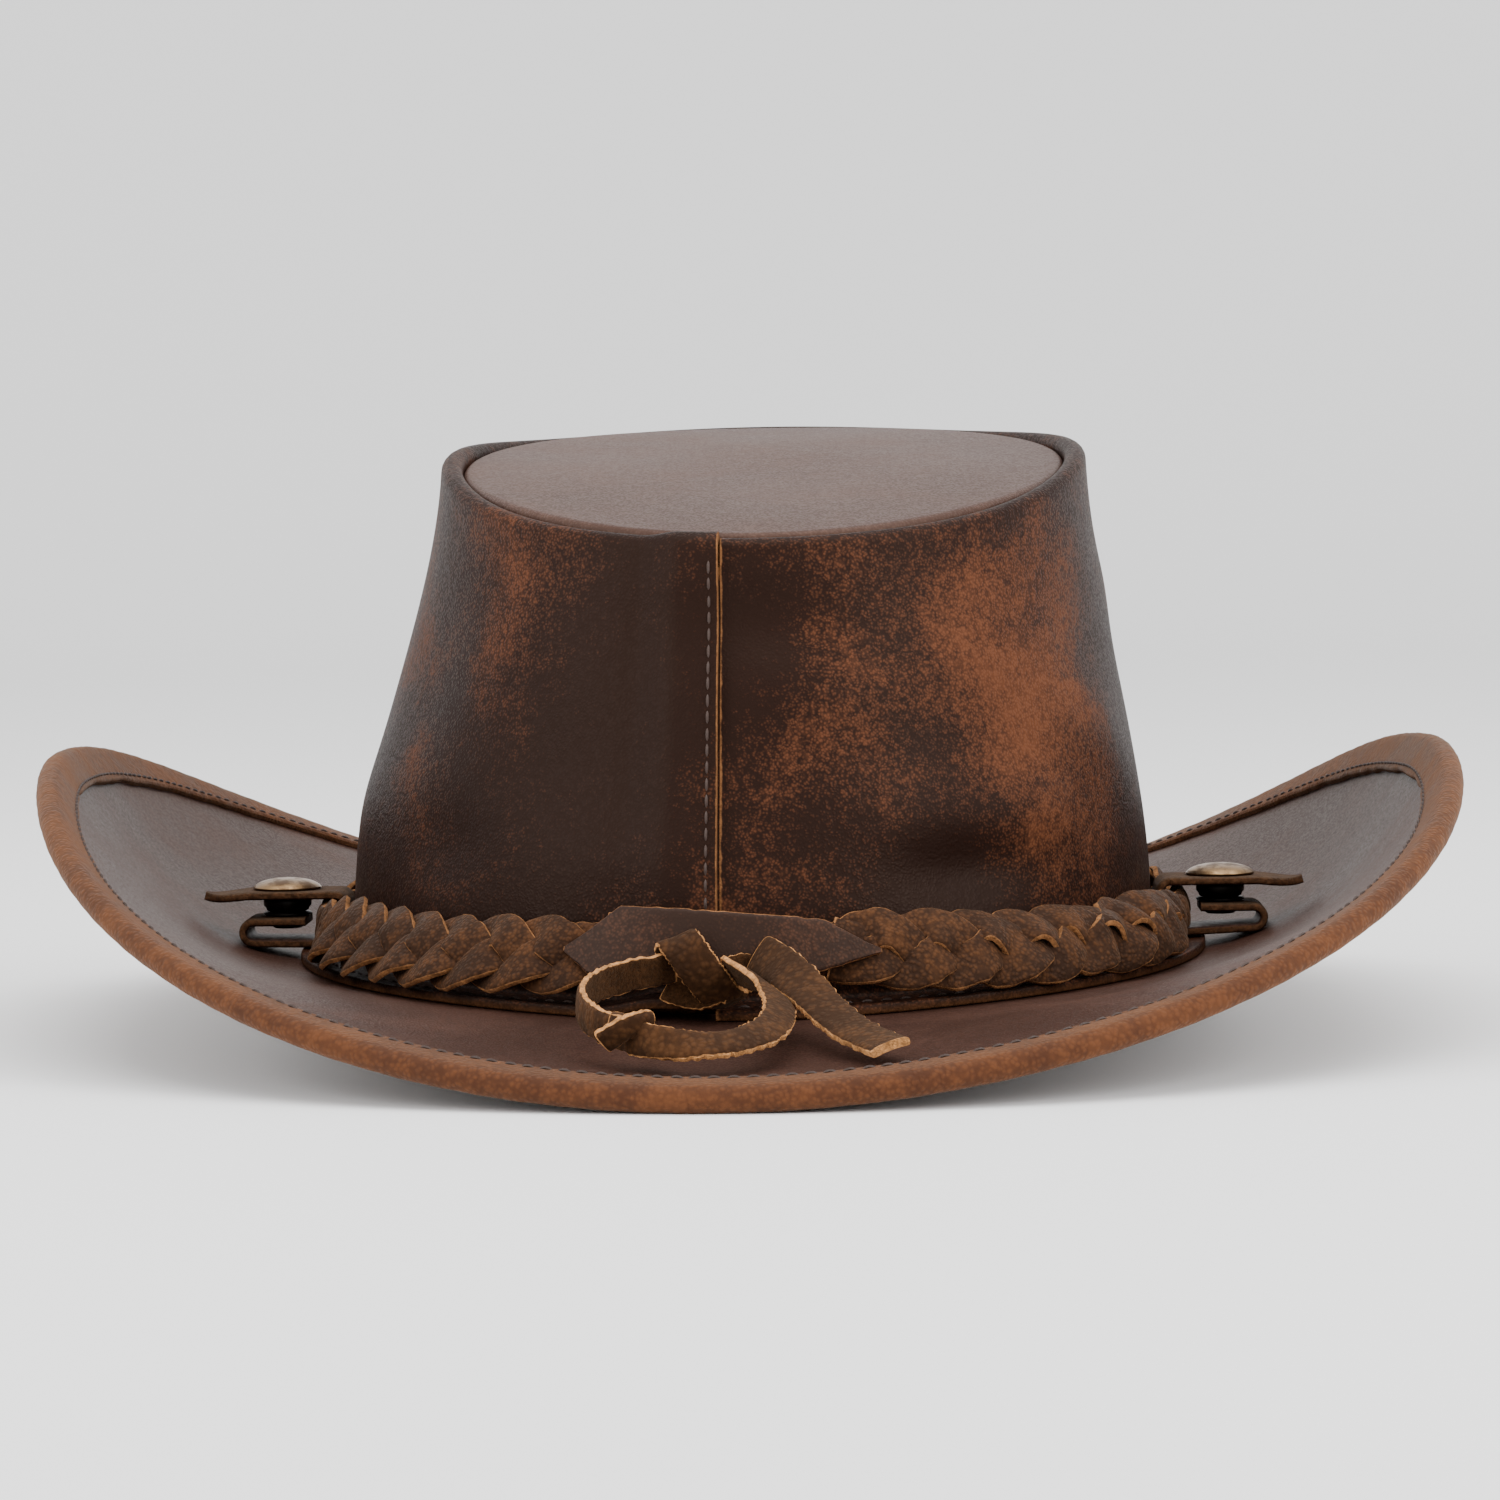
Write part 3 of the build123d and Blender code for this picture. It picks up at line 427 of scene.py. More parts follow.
def leather(name, outer, inner, material, around=False, body=HAT, flip=False, pole=False, hem=1.0):
    """Closed sheet between two grids of points, with its cut edges.

    Rows run along the sheet and columns across it.  The value cut is one at the cut edges, and
    flesh is one on the inner face; the UV map holds the distances along and across.
    """
    rows, columns = outer.shape[:2]
    front = np.arange(rows * columns).reshape(rows, columns)
    middle = (outer + inner) / 2
    along = np.r_[0, np.cumsum(np.linalg.norm(np.diff(middle.mean(axis=1), axis=0), axis=1))]
    across = np.r_[0, np.cumsum(np.linalg.norm(np.diff(middle[rows // 2], axis=0), axis=1))]
    if around:
        front = np.vstack([front, front[:1]])
        gap = np.linalg.norm(middle.mean(axis=1)[0] - middle.mean(axis=1)[-1])
        along = np.r_[along, along[-1] + gap]
    back = front + rows * columns
    u, v = np.meshgrid(along, across, indexing="ij")
    spots = np.arange(front.size).reshape(front.shape)
    faces = [(quads(front), quads(spots)), (quads(back)[:, ::-1], quads(spots)[:, ::-1])]
    for side in (0, -1):
        faces.append((pairs(front[:, side], back[:, side]), pairs(spots[:, side], spots[:, side])))
    if not around:
        for end in (0, -1):
            faces.append((pairs(front[end], back[end]), pairs(spots[end], spots[end])))
    corners = np.concatenate([face for face, _ in faces])
    uv_at = np.concatenate([spot for _, spot in faces])
    uvs = np.stack([u.ravel()[uv_at], v.ravel()[uv_at]], axis=-1)
    cut = np.zeros((2, rows, columns))
    cut[:, :, [0, 1, -2, -1]] = 1.0, 0.55, 0.55, 1.0
    cut[:, :, [0, 1, -2, -1]] *= hem
    if pole:
        cut[:, :, :2] = 0.0
    if not around:
        cut[:, [0, -1]] = 1.0
    flesh = np.zeros((2, rows, columns))
    flesh[0 if flip else 1] = 1.0
    points = np.concatenate([outer.reshape(-1, 3), inner.reshape(-1, 3)])
    mesh = build_mesh(name, points, corners, uvs, {"cut": cut, "flesh": flesh})
    return add_object(name, mesh, material, body)


def turned(name, profile, centre, material, body=HAT, closed=False, segments=48):
    """Surface of revolution about an upright axis: a profile of radius and height, spun round."""
    profile = np.array(profile) * MM
    turn = np.linspace(0, 2 * np.pi, segments, endpoint=False)[:, None]
    radius, height = profile[:, 0], profile[:, 1]
    x, y, z = radius * np.cos(turn), radius * np.sin(turn), height + 0 * turn
    points = np.stack([x, y, z], axis=-1) + np.array(centre)
    grid = np.arange(points.shape[0] * points.shape[1]).reshape(points.shape[:2])
    grid = np.vstack([grid, grid[:1]])
    if closed:
        grid = np.hstack([grid, grid[:, :1]])
    return add_object(name, build_mesh(name, points, quads(grid)), material, body)


def normalised(vectors):
    return vectors / np.linalg.norm(vectors, axis=-1, keepdims=True)


def ribbon(name, path, wide, half_width, thickness, material, body=HAT, bulge=0.0, seed=1,
           rough=0.12 * MM, columns=7, flip=False):
    """Flat strip along a path: each place of the path carries a section that runs from minus to
    plus the half width along the wide direction, bulged by a parabola, with a frayed cut edge."""
    rows = len(path)
    along = normalised(np.gradient(path, axis=0))
    wide = normalised(wide - (wide * along).sum(-1, keepdims=True) * along)
    normal = np.cross(along, wide)
    half_width = np.broadcast_to(half_width, rows)
    across = stops(2 * half_width.max(), columns)
    thin = rounding(across, thickness / 2)
    share = across / across.max() * 2 - 1
    x = share * half_width[:, None]
    edge = np.abs(share) ** 12
    x = x + np.where(share < 0, -1, 1) * edge * np.where(
        share < 0, fray(rows, seed, rough)[:, None], fray(rows, seed + 1, rough)[:, None])
    lift = bulge * (1 - share**2)
    middle = path[:, None] + x[..., None] * wide[:, None]
    half = thickness / 2 * thin
    up = normal[:, None]
    outer = middle + (lift + half)[None, :, None] * up
    inner = middle + (lift - half)[None, :, None] * up
    return leather(name, outer, inner, material, body=body, flip=flip)


def stitches(name, middles, along, up, body=HAT, size=None):
    """Short threads: each is a small round tube whose middle bows out of the leather in a
    parabola and whose two ends taper into it."""
    size = size or sizes().stitch
    rings, sides = 5, 6
    t = np.linspace(-1, 1, rings)
    turn = np.arange(sides) / sides * 2 * np.pi
    radius = sizes().thread_radius * np.sqrt(np.clip(1 - 0.85 * t**4, 0.1, 1))
    bow = sizes().thread_radius * (0.9 * (1 - t**2) - 0.5)
    side = np.cross(along, up)
    line = middles[:, None] + (t * size / 2)[:, None] * along[:, None] + bow[:, None] * up[:, None]
    ring = np.cos(turn)[:, None] * side[:, None, None] + np.sin(turn)[:, None] * up[:, None, None]
    points = line[:, :, None] + radius[:, None, None] * ring
    grid = np.arange(rings * sides).reshape(rings, sides)
    faces = quads(np.hstack([grid, grid[:, :1]]))
    first = [grid[0, [0, 1, 2, 3]], grid[0, [3, 4, 5, 0]]]
    last = [grid[-1, [3, 2, 1, 0]], grid[-1, [0, 5, 4, 3]]]
    faces = np.concatenate([faces, first, last])
    all_faces = (faces[None] + (np.arange(len(middles)) * rings * sides)[:, None, None]).reshape(-1, 4)
    return add_object(name, build_mesh(name, points, all_faces), thread_material(), body)


def even_places(path, pitch, jitter=0.0, seed=3):
    """Places along a path at an even pitch: middles and directions, worked out from its length."""
    run = np.r_[0, np.cumsum(np.linalg.norm(np.diff(path, axis=0), axis=1))]
    count = int(run[-1] / pitch)
    at = (np.arange(count) + 0.5) * run[-1] / count
    at = at + np.random.default_rng(seed).normal(size=count) * jitter
    middles = np.stack([np.interp(at, run, path[:, k]) for k in range(3)], axis=-1)
    ahead = np.stack([np.interp(at + 0.5 * MM, run, path[:, k]) for k in range(3)], axis=-1)
    return middles, normalised(ahead - middles), at / run[-1]


# ---- materials ------------------------------------------------------------------------------

def new_group(name, inputs, outputs):
    """Empty node group with named sockets, and its two end nodes."""
    group = bpy.data.node_groups.new(name, "ShaderNodeTree")
    for label, kind, default in inputs:
        socket = group.interface.new_socket(name=label, in_out="INPUT", socket_type=kind)
        if default is not None:
            socket.default_value = default
    for label, kind in outputs:
        group.interface.new_socket(name=label, in_out="OUTPUT", socket_type=kind)
    return group, group.nodes.new("NodeGroupInput"), group.nodes.new("NodeGroupOutput")


def add_node(tree, kind, settings=None, **inputs):
    """Node with its settings, and its inputs set or linked by name."""
    node = tree.nodes.new(kind)
    for key, value in (settings or {}).items():
        setattr(node, key, value)
    for key, value in inputs.items():
        socket = node.inputs[int(key[1:])] if key[0] == "_" else node.inputs[key.replace("_", " ")]
        if isinstance(value, bpy.types.NodeSocket):
            tree.links.new(value, socket)
        else:
            socket.default_value = value
    return node


def math_node(tree, operation, first, second=0.0, clamp=False):
    return add_node(tree, "ShaderNodeMath", {"operation": operation, "use_clamp": clamp},
                    _0=first, _1=second).outputs[0]


def noise(tree, vector, scale, detail, roughness):
    return add_node(tree, "ShaderNodeTexNoise", Vector=vector, Scale=scale, Detail=detail,
                    Roughness=roughness).outputs[0]


def remap(tree, value, low, high, to_low=0.0, to_high=1.0):
    """Smooth ramp of a value between two limits."""
    settings = {"interpolation_type": "SMOOTHSTEP"}
    return add_node(tree, "ShaderNodeMapRange", settings, _0=value, _1=low, _2=high, _3=to_low,
                    _4=to_high).outputs[0]


def mix_colour(tree, share, first, second, blend="MIX"):
    settings = {"data_type": "RGBA", "blend_type": blend}
    return add_node(tree, "ShaderNodeMix", settings, _0=share, _6=first, _7=second).outputs[2]


def rgba(value):
    return (*value, 1.0)


def grain_group():
    """Pebbled grain: cells of a Voronoi pattern in two sizes, with fine noise on top.
    Height is one on a pebble and nought in a crease; Pore marks the deepest creases."""
    if "Pebble Grain" in bpy.data.node_groups:
        return bpy.data.node_groups["Pebble Grain"]
    group, start, end = new_group(
        "Pebble Grain",
        [("Vector", "NodeSocketVector", None), ("Cells", "NodeSocketFloat", 900.0)],
        [("Height", "NodeSocketFloat"), ("Pore", "NodeSocketFloat")],
    )
    vector, cells = start.outputs["Vector"], start.outputs["Cells"]
    warp = add_node(group, "ShaderNodeTexNoise", Vector=vector, Scale=260.0, Detail=2.0)
    bent = add_node(group, "ShaderNodeVectorMath", {"operation": "MULTIPLY_ADD"}, _0=warp.outputs["Color"],
                    _1=(0.0012, 0.0012, 0.0012), _2=vector).outputs[0]
    small = add_node(group, "ShaderNodeTexVoronoi", {"feature": "SMOOTH_F1"}, Vector=bent, Scale=cells,
                     Smoothness=0.35)
    big = add_node(group, "ShaderNodeTexVoronoi", {"feature": "F1"}, Vector=bent,
                   Scale=math_node(group, "MULTIPLY", cells, 0.37))
    fine = add_node(group, "ShaderNodeTexNoise", Vector=vector, Detail=3.0,
                    Scale=math_node(group, "MULTIPLY", cells, 2.3))
    cell = remap(group, small.outputs["Distance"], 0.10, 0.75, 1.0, 0.0)
    large = remap(group, big.outputs["Distance"], 0.1, 0.9, 1.0, 0.0)
    height = math_node(group, "ADD", math_node(group, "MULTIPLY", cell, 0.55),
                       math_node(group, "MULTIPLY", large, 0.25))
    height = math_node(group, "ADD", height, math_node(group, "MULTIPLY", fine.outputs[0], 0.20))
    group.links.new(height, end.inputs["Height"])
    group.links.new(remap(group, height, 0.30, 0.52, 1.0, 0.0), end.inputs["Pore"])
    return group


def pull_up_group():
    """Oiled leather whose wax moves where it bends: two tones mixed by cloudy noise in two sizes,
    pushed one way or the other by the rubbing input, which on the crown also carries spots of
    painted shade and painted highlight; creases of the grain keep the dark wax."""
    if "Pull Up" in bpy.data.node_groups:
        return bpy.data.node_groups["Pull Up"]
    group, start, end = new_group(
        "Pull Up",
        [("Vector", "NodeSocketVector", None), ("Dark", "NodeSocketColor", (0.02, 0.01, 0.01, 1)),
         ("Worn", "NodeSocketColor", (0.15, 0.06, 0.03, 1)), ("Rubbed", "NodeSocketFloat", 0.5),
         ("Clouds", "NodeSocketFloat", 24.0), ("Grain", "NodeSocketFloat", 0.5)],
        [("Color", "NodeSocketColor"), ("Mask", "NodeSocketFloat")],
    )
    vector = start.outputs["Vector"]
    clouds = add_node(group, "ShaderNodeTexNoise", Vector=vector, Scale=start.outputs["Clouds"], Detail=5.0,
                      Roughness=0.55, Distortion=0.6).outputs[0]
    flecks = add_node(group, "ShaderNodeTexNoise", Vector=vector, Scale=420.0, Detail=4.0,
                      Roughness=0.7).outputs[0]
    cloud = math_node(group, "MULTIPLY", math_node(group, "SUBTRACT", clouds, 0.5), 1.8)
    speck = math_node(group, "MULTIPLY", math_node(group, "SUBTRACT", flecks, 0.5), 0.9)
    pebble = math_node(group, "MULTIPLY", math_node(group, "SUBTRACT", start.outputs["Grain"], 0.55), 0.8)
    total = math_node(group, "ADD", math_node(group, "ADD", cloud, speck),
                      math_node(group, "ADD", pebble, start.outputs["Rubbed"]))
    mask = remap(group, total, 0.0, 1.05)
    tone = mix_colour(group, mask, start.outputs["Dark"], start.outputs["Worn"])
    group.links.new(tone, end.inputs["Color"])
    group.links.new(mask, end.inputs["Mask"])
    return group


def raw_group():
    """Raw leather: the flesh side and the cut edges get their own tones, broken up by fibres.
    Fuzz is one where the leather is raw, and Fibre is the height of the fibres there."""
    if "Raw Leather" in bpy.data.node_groups:
        return bpy.data.node_groups["Raw Leather"]
    group, start, end = new_group(
        "Raw Leather",
        [("Vector", "NodeSocketVector", None), ("Face", "NodeSocketColor", (0.1, 0.05, 0.03, 1)),
         ("Flesh", "NodeSocketColor", (0.1, 0.045, 0.02, 1)), ("Cut", "NodeSocketColor", (0.4, 0.2, 0.1, 1)),
         ("Flesh Share", "NodeSocketFloat", 1.0), ("Cut Share", "NodeSocketFloat", 1.0)],
        [("Color", "NodeSocketColor"), ("Fuzz", "NodeSocketFloat"), ("Fibre", "NodeSocketFloat")],
    )
    vector = start.outputs["Vector"]
    fibre = noise(group, vector, 1500.0, 4.0, 0.7)
    tufts = noise(group, vector, 330.0, 3.0, 0.6)
    cut = add_node(group, "ShaderNodeAttribute", {"attribute_name": "cut"}).outputs["Fac"]
    flesh = add_node(group, "ShaderNodeAttribute", {"attribute_name": "flesh"}).outputs["Fac"]
    rag = math_node(group, "MULTIPLY", math_node(group, "SUBTRACT", tufts, 0.5), 0.9)
    at_cut = remap(group, math_node(group, "ADD", cut, rag), 0.45, 0.85)
    at_cut = math_node(group, "MULTIPLY", at_cut, start.outputs["Cut Share"])
    at_flesh = math_node(group, "MULTIPLY", flesh, start.outputs["Flesh Share"])
    tone = remap(group, math_node(group, "ADD", math_node(group, "MULTIPLY", fibre, 0.6),
                                  math_node(group, "MULTIPLY", tufts, 0.4)), 0.36, 0.64, 0.55, 1.35)
    darker = add_node(group, "ShaderNodeVectorMath", {"operation": "SCALE"}, _0=start.outputs["Flesh"],
                      Scale=tone).outputs[0]
    lighter = add_node(group, "ShaderNodeVectorMath", {"operation": "SCALE"}, _0=start.outputs["Cut"],
                       Scale=tone).outputs[0]
    result = mix_colour(group, at_flesh, start.outputs["Face"], darker)
    group.links.new(mix_colour(group, at_cut, result, lighter), end.inputs["Color"])
    group.links.new(math_node(group, "MAXIMUM", at_cut, at_flesh), end.inputs["Fuzz"])
    group.links.new(fibre, end.inputs["Fibre"])
    return group


def spot_group():
    """Soft round spot: one at Center, falling smoothly to nought at Radius."""
    if "Soft Spot" in bpy.data.node_groups:
        return bpy.data.node_groups["Soft Spot"]
    group, start, end = new_group(
        "Soft Spot",
        [("Vector", "NodeSocketVector", None), ("Center", "NodeSocketVector", None),
         ("Radius", "NodeSocketFloat", 0.02)],
        [("Value", "NodeSocketFloat")],
    )
    away = add_node(group, "ShaderNodeVectorMath", {"operation": "DISTANCE"}, _0=start.outputs["Vector"],
                    _1=start.outputs["Center"]).outputs["Value"]
    share = math_node(group, "DIVIDE", away, start.outputs["Radius"])
    group.links.new(remap(group, share, 0.0, 1.0, 1.0, 0.0), end.inputs["Value"])
    return group


def use_group(tree, group, **inputs):
    node = add_node(tree, "ShaderNodeGroup", {"node_tree": group})
    for key, value in inputs.items():
        socket = node.inputs[key.replace("_", " ")]
        if isinstance(value, bpy.types.NodeSocket):
            tree.links.new(value, socket)
        else:
            socket.default_value = value
    return node


def new_material(name):
    """Material with an empty Principled shader: its tree, the shader and the point's own place."""
    material = bpy.data.materials.new(name)
    material.use_nodes = True
    tree = material.node_tree
    vector = tree.nodes.new("ShaderNodeTexCoord").outputs["Object"]
    return material, tree, tree.nodes["Principled BSDF"], vector


def leather_material(name, dark, worn, rubbed, clouds=24.0, cells=1000.0, spots=(), cut=None,
                     flesh=None, flesh_share=1.0, cut_share=1.0, gloss=(0.42, 0.62), depth=0.12,
                     sheen=0.0, crease=0.0, shine=0.10):
    """Oiled leather: grain, pull-up tones, spots that push the tone lighter or darker (on the crown partly painted
    shade and painted highlight), raw parts.
    """
    if name in bpy.data.materials:
        return bpy.data.materials[name]
    material, tree, shader, vector = new_material(name)
    grain = use_group(tree, grain_group(), Vector=vector, Cells=cells)
    # Rubbing plus the spots: on the crown the spots are partly painted shade and painted highlight, not only
    # rubbed leather.
    rubbing_and_painted_light = rubbed
    for centre, radius, strength in spots:
        spot = use_group(tree, spot_group(), Vector=vector, Center=centre, Radius=radius).outputs[0]
        rubbing_and_painted_light = math_node(tree, "ADD", math_node(tree, "MULTIPLY", spot, strength), rubbing_and_painted_light)
    tones = use_group(tree, pull_up_group(), Vector=vector, Dark=rgba(dark), Worn=rgba(worn),
                      Rubbed=rubbing_and_painted_light, Clouds=clouds, Grain=grain.outputs["Height"])
    raw = use_group(tree, raw_group(), Vector=vector, Face=tones.outputs["Color"],
                    Flesh=rgba(flesh or colours().flesh), Cut=rgba(cut or colours().cut),
                    Flesh_Share=flesh_share, Cut_Share=cut_share)
    tree.links.new(raw.outputs["Color"], shader.inputs["Base Color"])
    rough = remap(tree, tones.outputs["Mask"], 0.0, 1.0, gloss[0], gloss[1])
    rough = math_node(tree, "ADD", rough, math_node(tree, "MULTIPLY", grain.outputs["Pore"], 0.12))
    fuzzy = math_node(tree, "MULTIPLY", raw.outputs["Fuzz"], 0.35)
    tree.links.new(math_node(tree, "ADD", rough, fuzzy, clamp=True), shader.inputs["Roughness"])
    shader.inputs["Specular IOR Level"].default_value = shine
    shader.inputs["Specular Tint"].default_value = rgba((1.0, 0.76, 0.62))
    shader.inputs["Sheen Weight"].default_value = sheen
    shader.inputs["Sheen Roughness"].default_value = 0.5
    shader.inputs["Sheen Tint"].default_value = rgba((0.9, 0.62, 0.42))
    wrinkle = add_node(tree, "ShaderNodeTexNoise", Vector=vector, Scale=95.0, Detail=4.0,
                       Distortion=1.2).outputs[0]
    broad = add_node(tree, "ShaderNodeBump", Strength=crease, Distance=0.0035, Height=wrinkle)
    fibre = math_node(tree, "MULTIPLY", raw.outputs["Fibre"], raw.outputs["Fuzz"])
    height = math_node(tree, "ADD", grain.outputs["Height"], math_node(tree, "MULTIPLY", fibre, 2.0))
    bump = add_node(tree, "ShaderNodeBump", Strength=1.0, Distance=depth * MM, Height=height,
                    Normal=broad.outputs[0])
    tree.links.new(bump.outputs[0], shader.inputs["Normal"])
    return material


def crown_material():
    """Crown: darker at the left and lighter orange brown at the right, partly the leather's own wax and rubbing
    and partly painted light and shade, with painted shade in its soft hollows and a painted highlight high at the
    left.
    """
    # Spots: centre, radius and push, lighter above nought and darker below. On the side towards the camera the
    # darker ones are painted shade in the hollows of the wall and on the left, the light ones high at the left are
    # painted highlight, and the light ones at the right are partly rubbed leather and partly painted light; the
    # others, round the sides and at the front, lighten the tone.
    spots = [
        ((0.055, -0.080, 0.095), 0.042, 0.42), ((0.072, -0.060, 0.070), 0.050, 0.50),
        ((0.030, -0.095, 0.070), 0.028, 0.28), ((0.062, -0.072, 0.050), 0.026, 0.34),
        ((0.006, -0.095, 0.092), 0.022, -0.45), ((0.046, -0.098, 0.036), 0.020, -0.40),
        ((-0.030, -0.095, 0.060), 0.045, -0.30), ((-0.070, -0.070, 0.040), 0.034, -0.22),
        ((-0.055, -0.072, 0.100), 0.040, 0.14), ((-0.030, -0.090, 0.082), 0.018, 0.12),
        ((0.030, 0.100, 0.090), 0.050, 0.40), ((-0.060, 0.070, 0.060), 0.045, 0.35),
        ((0.085, 0.020, 0.110), 0.035, 0.35), ((-0.080, 0.010, 0.112), 0.035, 0.30),
    ]
    return leather_material("Crown Leather", colours().dark, colours().worn, 0.20, clouds=30.0,
                            cells=1600.0, spots=spots, cut_share=0.7, depth=0.09, crease=0.06)


def tip_material():
    return leather_material("Tip Leather", (0.046, 0.022, 0.016), (0.085, 0.045, 0.033), 0.45,
                            clouds=26.0, cells=1700.0, gloss=(0.42, 0.50), depth=0.07,
                            crease=0.05, shine=0.26)


def brim_material():
    return leather_material("Brim Leather", colours().brim, (0.064, 0.028, 0.019), 0.42, clouds=20.0,
                            cells=1700.0, gloss=(0.42, 0.52), depth=0.07, crease=0.05,
                            flesh_share=0.85, shine=0.24)


def binding_material():
    return leather_material("Binding Leather", (0.050, 0.018, 0.009), colours().binding, 0.62,
                            clouds=60.0, cut=(0.085, 0.034, 0.015), gloss=(0.55, 0.72), depth=0.16,
                            sheen=0.12)


def braid_material():
    return leather_material("Braid Leather", (0.020, 0.0085, 0.0045), (0.085, 0.034, 0.0135), 0.42,
                            clouds=90.0, cells=1100.0, gloss=(0.55, 0.75), depth=0.20, sheen=0.08)


def tab_material():
    return leather_material("Tab Leather", (0.018, 0.0085, 0.0062), (0.070, 0.028, 0.015), 0.30,
                            clouds=50.0, cells=1500.0, gloss=(0.42, 0.56), depth=0.06, shine=0.2)


def lace_material():
    return leather_material("Lace Leather", (0.022, 0.0088, 0.0036), (0.070, 0.029, 0.011), 0.45,
                            clouds=80.0, cells=800.0, cut=(0.46, 0.215, 0.080), flesh=(0.042, 0.0175, 0.0066),
                            gloss=(0.60, 0.80), depth=0.22, sheen=0.08)


def keeper_material():
    return leather_material("Keeper Leather", (0.028, 0.013, 0.0095), (0.070, 0.032, 0.021), 0.40,
                            clouds=60.0, cut=(0.070, 0.030, 0.013), flesh=(0.060, 0.032, 0.017),
                            gloss=(0.45, 0.60), depth=0.08, shine=0.22)


def sweatband_material():
    return leather_material("Sweatband Leather", (0.050, 0.022, 0.012), (0.110, 0.050, 0.027), 0.50,
                            clouds=30.0, cells=1500.0, gloss=(0.45, 0.55), depth=0.06)


def thread_material():
    """Waxed thread: dark, with the twist of its plies as fine bands."""
    if "Waxed Thread" in bpy.data.materials:
        return bpy.data.materials["Waxed Thread"]
    material, tree, shader, vector = new_material("Waxed Thread")
    wave = add_node(tree, "ShaderNodeTexNoise", Vector=vector, Scale=2600.0, Detail=2.0).outputs[0]
    tone = mix_colour(tree, wave, rgba(colours().thread), rgba((0.055, 0.028, 0.018)))
    tree.links.new(tone, shader.inputs["Base Color"])
    tree.links.new(remap(tree, wave, 0.3, 0.7, 0.5, 0.8), shader.inputs["Roughness"])
    bump = add_node(tree, "ShaderNodeBump", Strength=0.8, Distance=0.0001, Height=wave)
    tree.links.new(bump.outputs[0], shader.inputs["Normal"])
    return material


def metal_material(name, base, patina, gloss, metallic=1.0):
    """Old metal: cloudy patina over a brushed base, rougher where it is dull."""
    if name in bpy.data.materials:
        return bpy.data.materials[name]
    material, tree, shader, vector = new_material(name)
    clouds = noise(tree, vector, 240.0, 5.0, 0.65)
    fine = add_node(tree, "ShaderNodeTexNoise", Vector=vector, Scale=3000.0, Detail=2.0).outputs[0]
    dull = remap(tree, clouds, 0.42, 0.66)
    tree.links.new(mix_colour(tree, dull, rgba(base), rgba(patina)), shader.inputs["Base Color"])
    shader.inputs["Metallic"].default_value = metallic
    rough = math_node(tree, "ADD", remap(tree, dull, 0.0, 1.0, gloss[0], gloss[1]),
                      math_node(tree, "MULTIPLY", fine, 0.08))
    tree.links.new(rough, shader.inputs["Roughness"])
    bump = add_node(tree, "ShaderNodeBump", Strength=0.35, Distance=0.00008, Height=fine)
    tree.links.new(bump.outputs[0], shader.inputs["Normal"])
    return material


def brass_material():
    return metal_material("Antique Brass", colours().brass, (0.110, 0.062, 0.032), (0.26, 0.45))


# Snap socket, stud and post: partly dark metal and partly painted shade between the straps.
def black_and_shade_material():
    return metal_material("Black Metal", colours().black_and_shade, (0.030, 0.027, 0.025), (0.35, 0.55))


def steel_material():
    return metal_material("Steel Wire", colours().steel, (0.25, 0.24, 0.22), (0.25, 0.40))


def floor_material():
    """Pale floor: one even tone with the faintest mottling."""
    material, tree, shader, vector = new_material("Pale Floor")
    noise = add_node(tree, "ShaderNodeTexNoise", Vector=vector, Scale=3.0, Detail=2.0).outputs[0]
    pale = colours().floor
    tone = mix_colour(tree, noise, rgba(pale), rgba([0.985 * part for part in pale]))
    tree.links.new(tone, shader.inputs["Base Color"])
    shader.inputs["Roughness"].default_value = 0.9
    shader.inputs["Specular IOR Level"].default_value = 0.1
    return material


# ---- stage ----------------------------------------------------------------------------------

TARGET = Vector((0.0, 0.0, 40 * MM))


def look_from(place_at, roll=0.0):
    """Matrix of a camera or light at a place that looks at the hat's middle."""
    back = (place_at - TARGET).normalized()
    turn = back.to_track_quat("Z", "Y").to_matrix() @ Matrix.Rotation(roll, 3, "Z")
    return Matrix.Translation(place_at) @ turn.to_4x4()


def area_light(name, place_at, size, power, tone=(1.0, 1.0, 1.0)):
    light = bpy.data.lights.new(name, "AREA")
    light.shape = "RECTANGLE"
    light.size, light.size_y = size
    light.energy = power
    light.color = tone
    lamp = bpy.data.objects.new(name, light)
    lamp.matrix_world = look_from(Vector(place_at))
    bpy.context.scene.collection.objects.link(lamp)


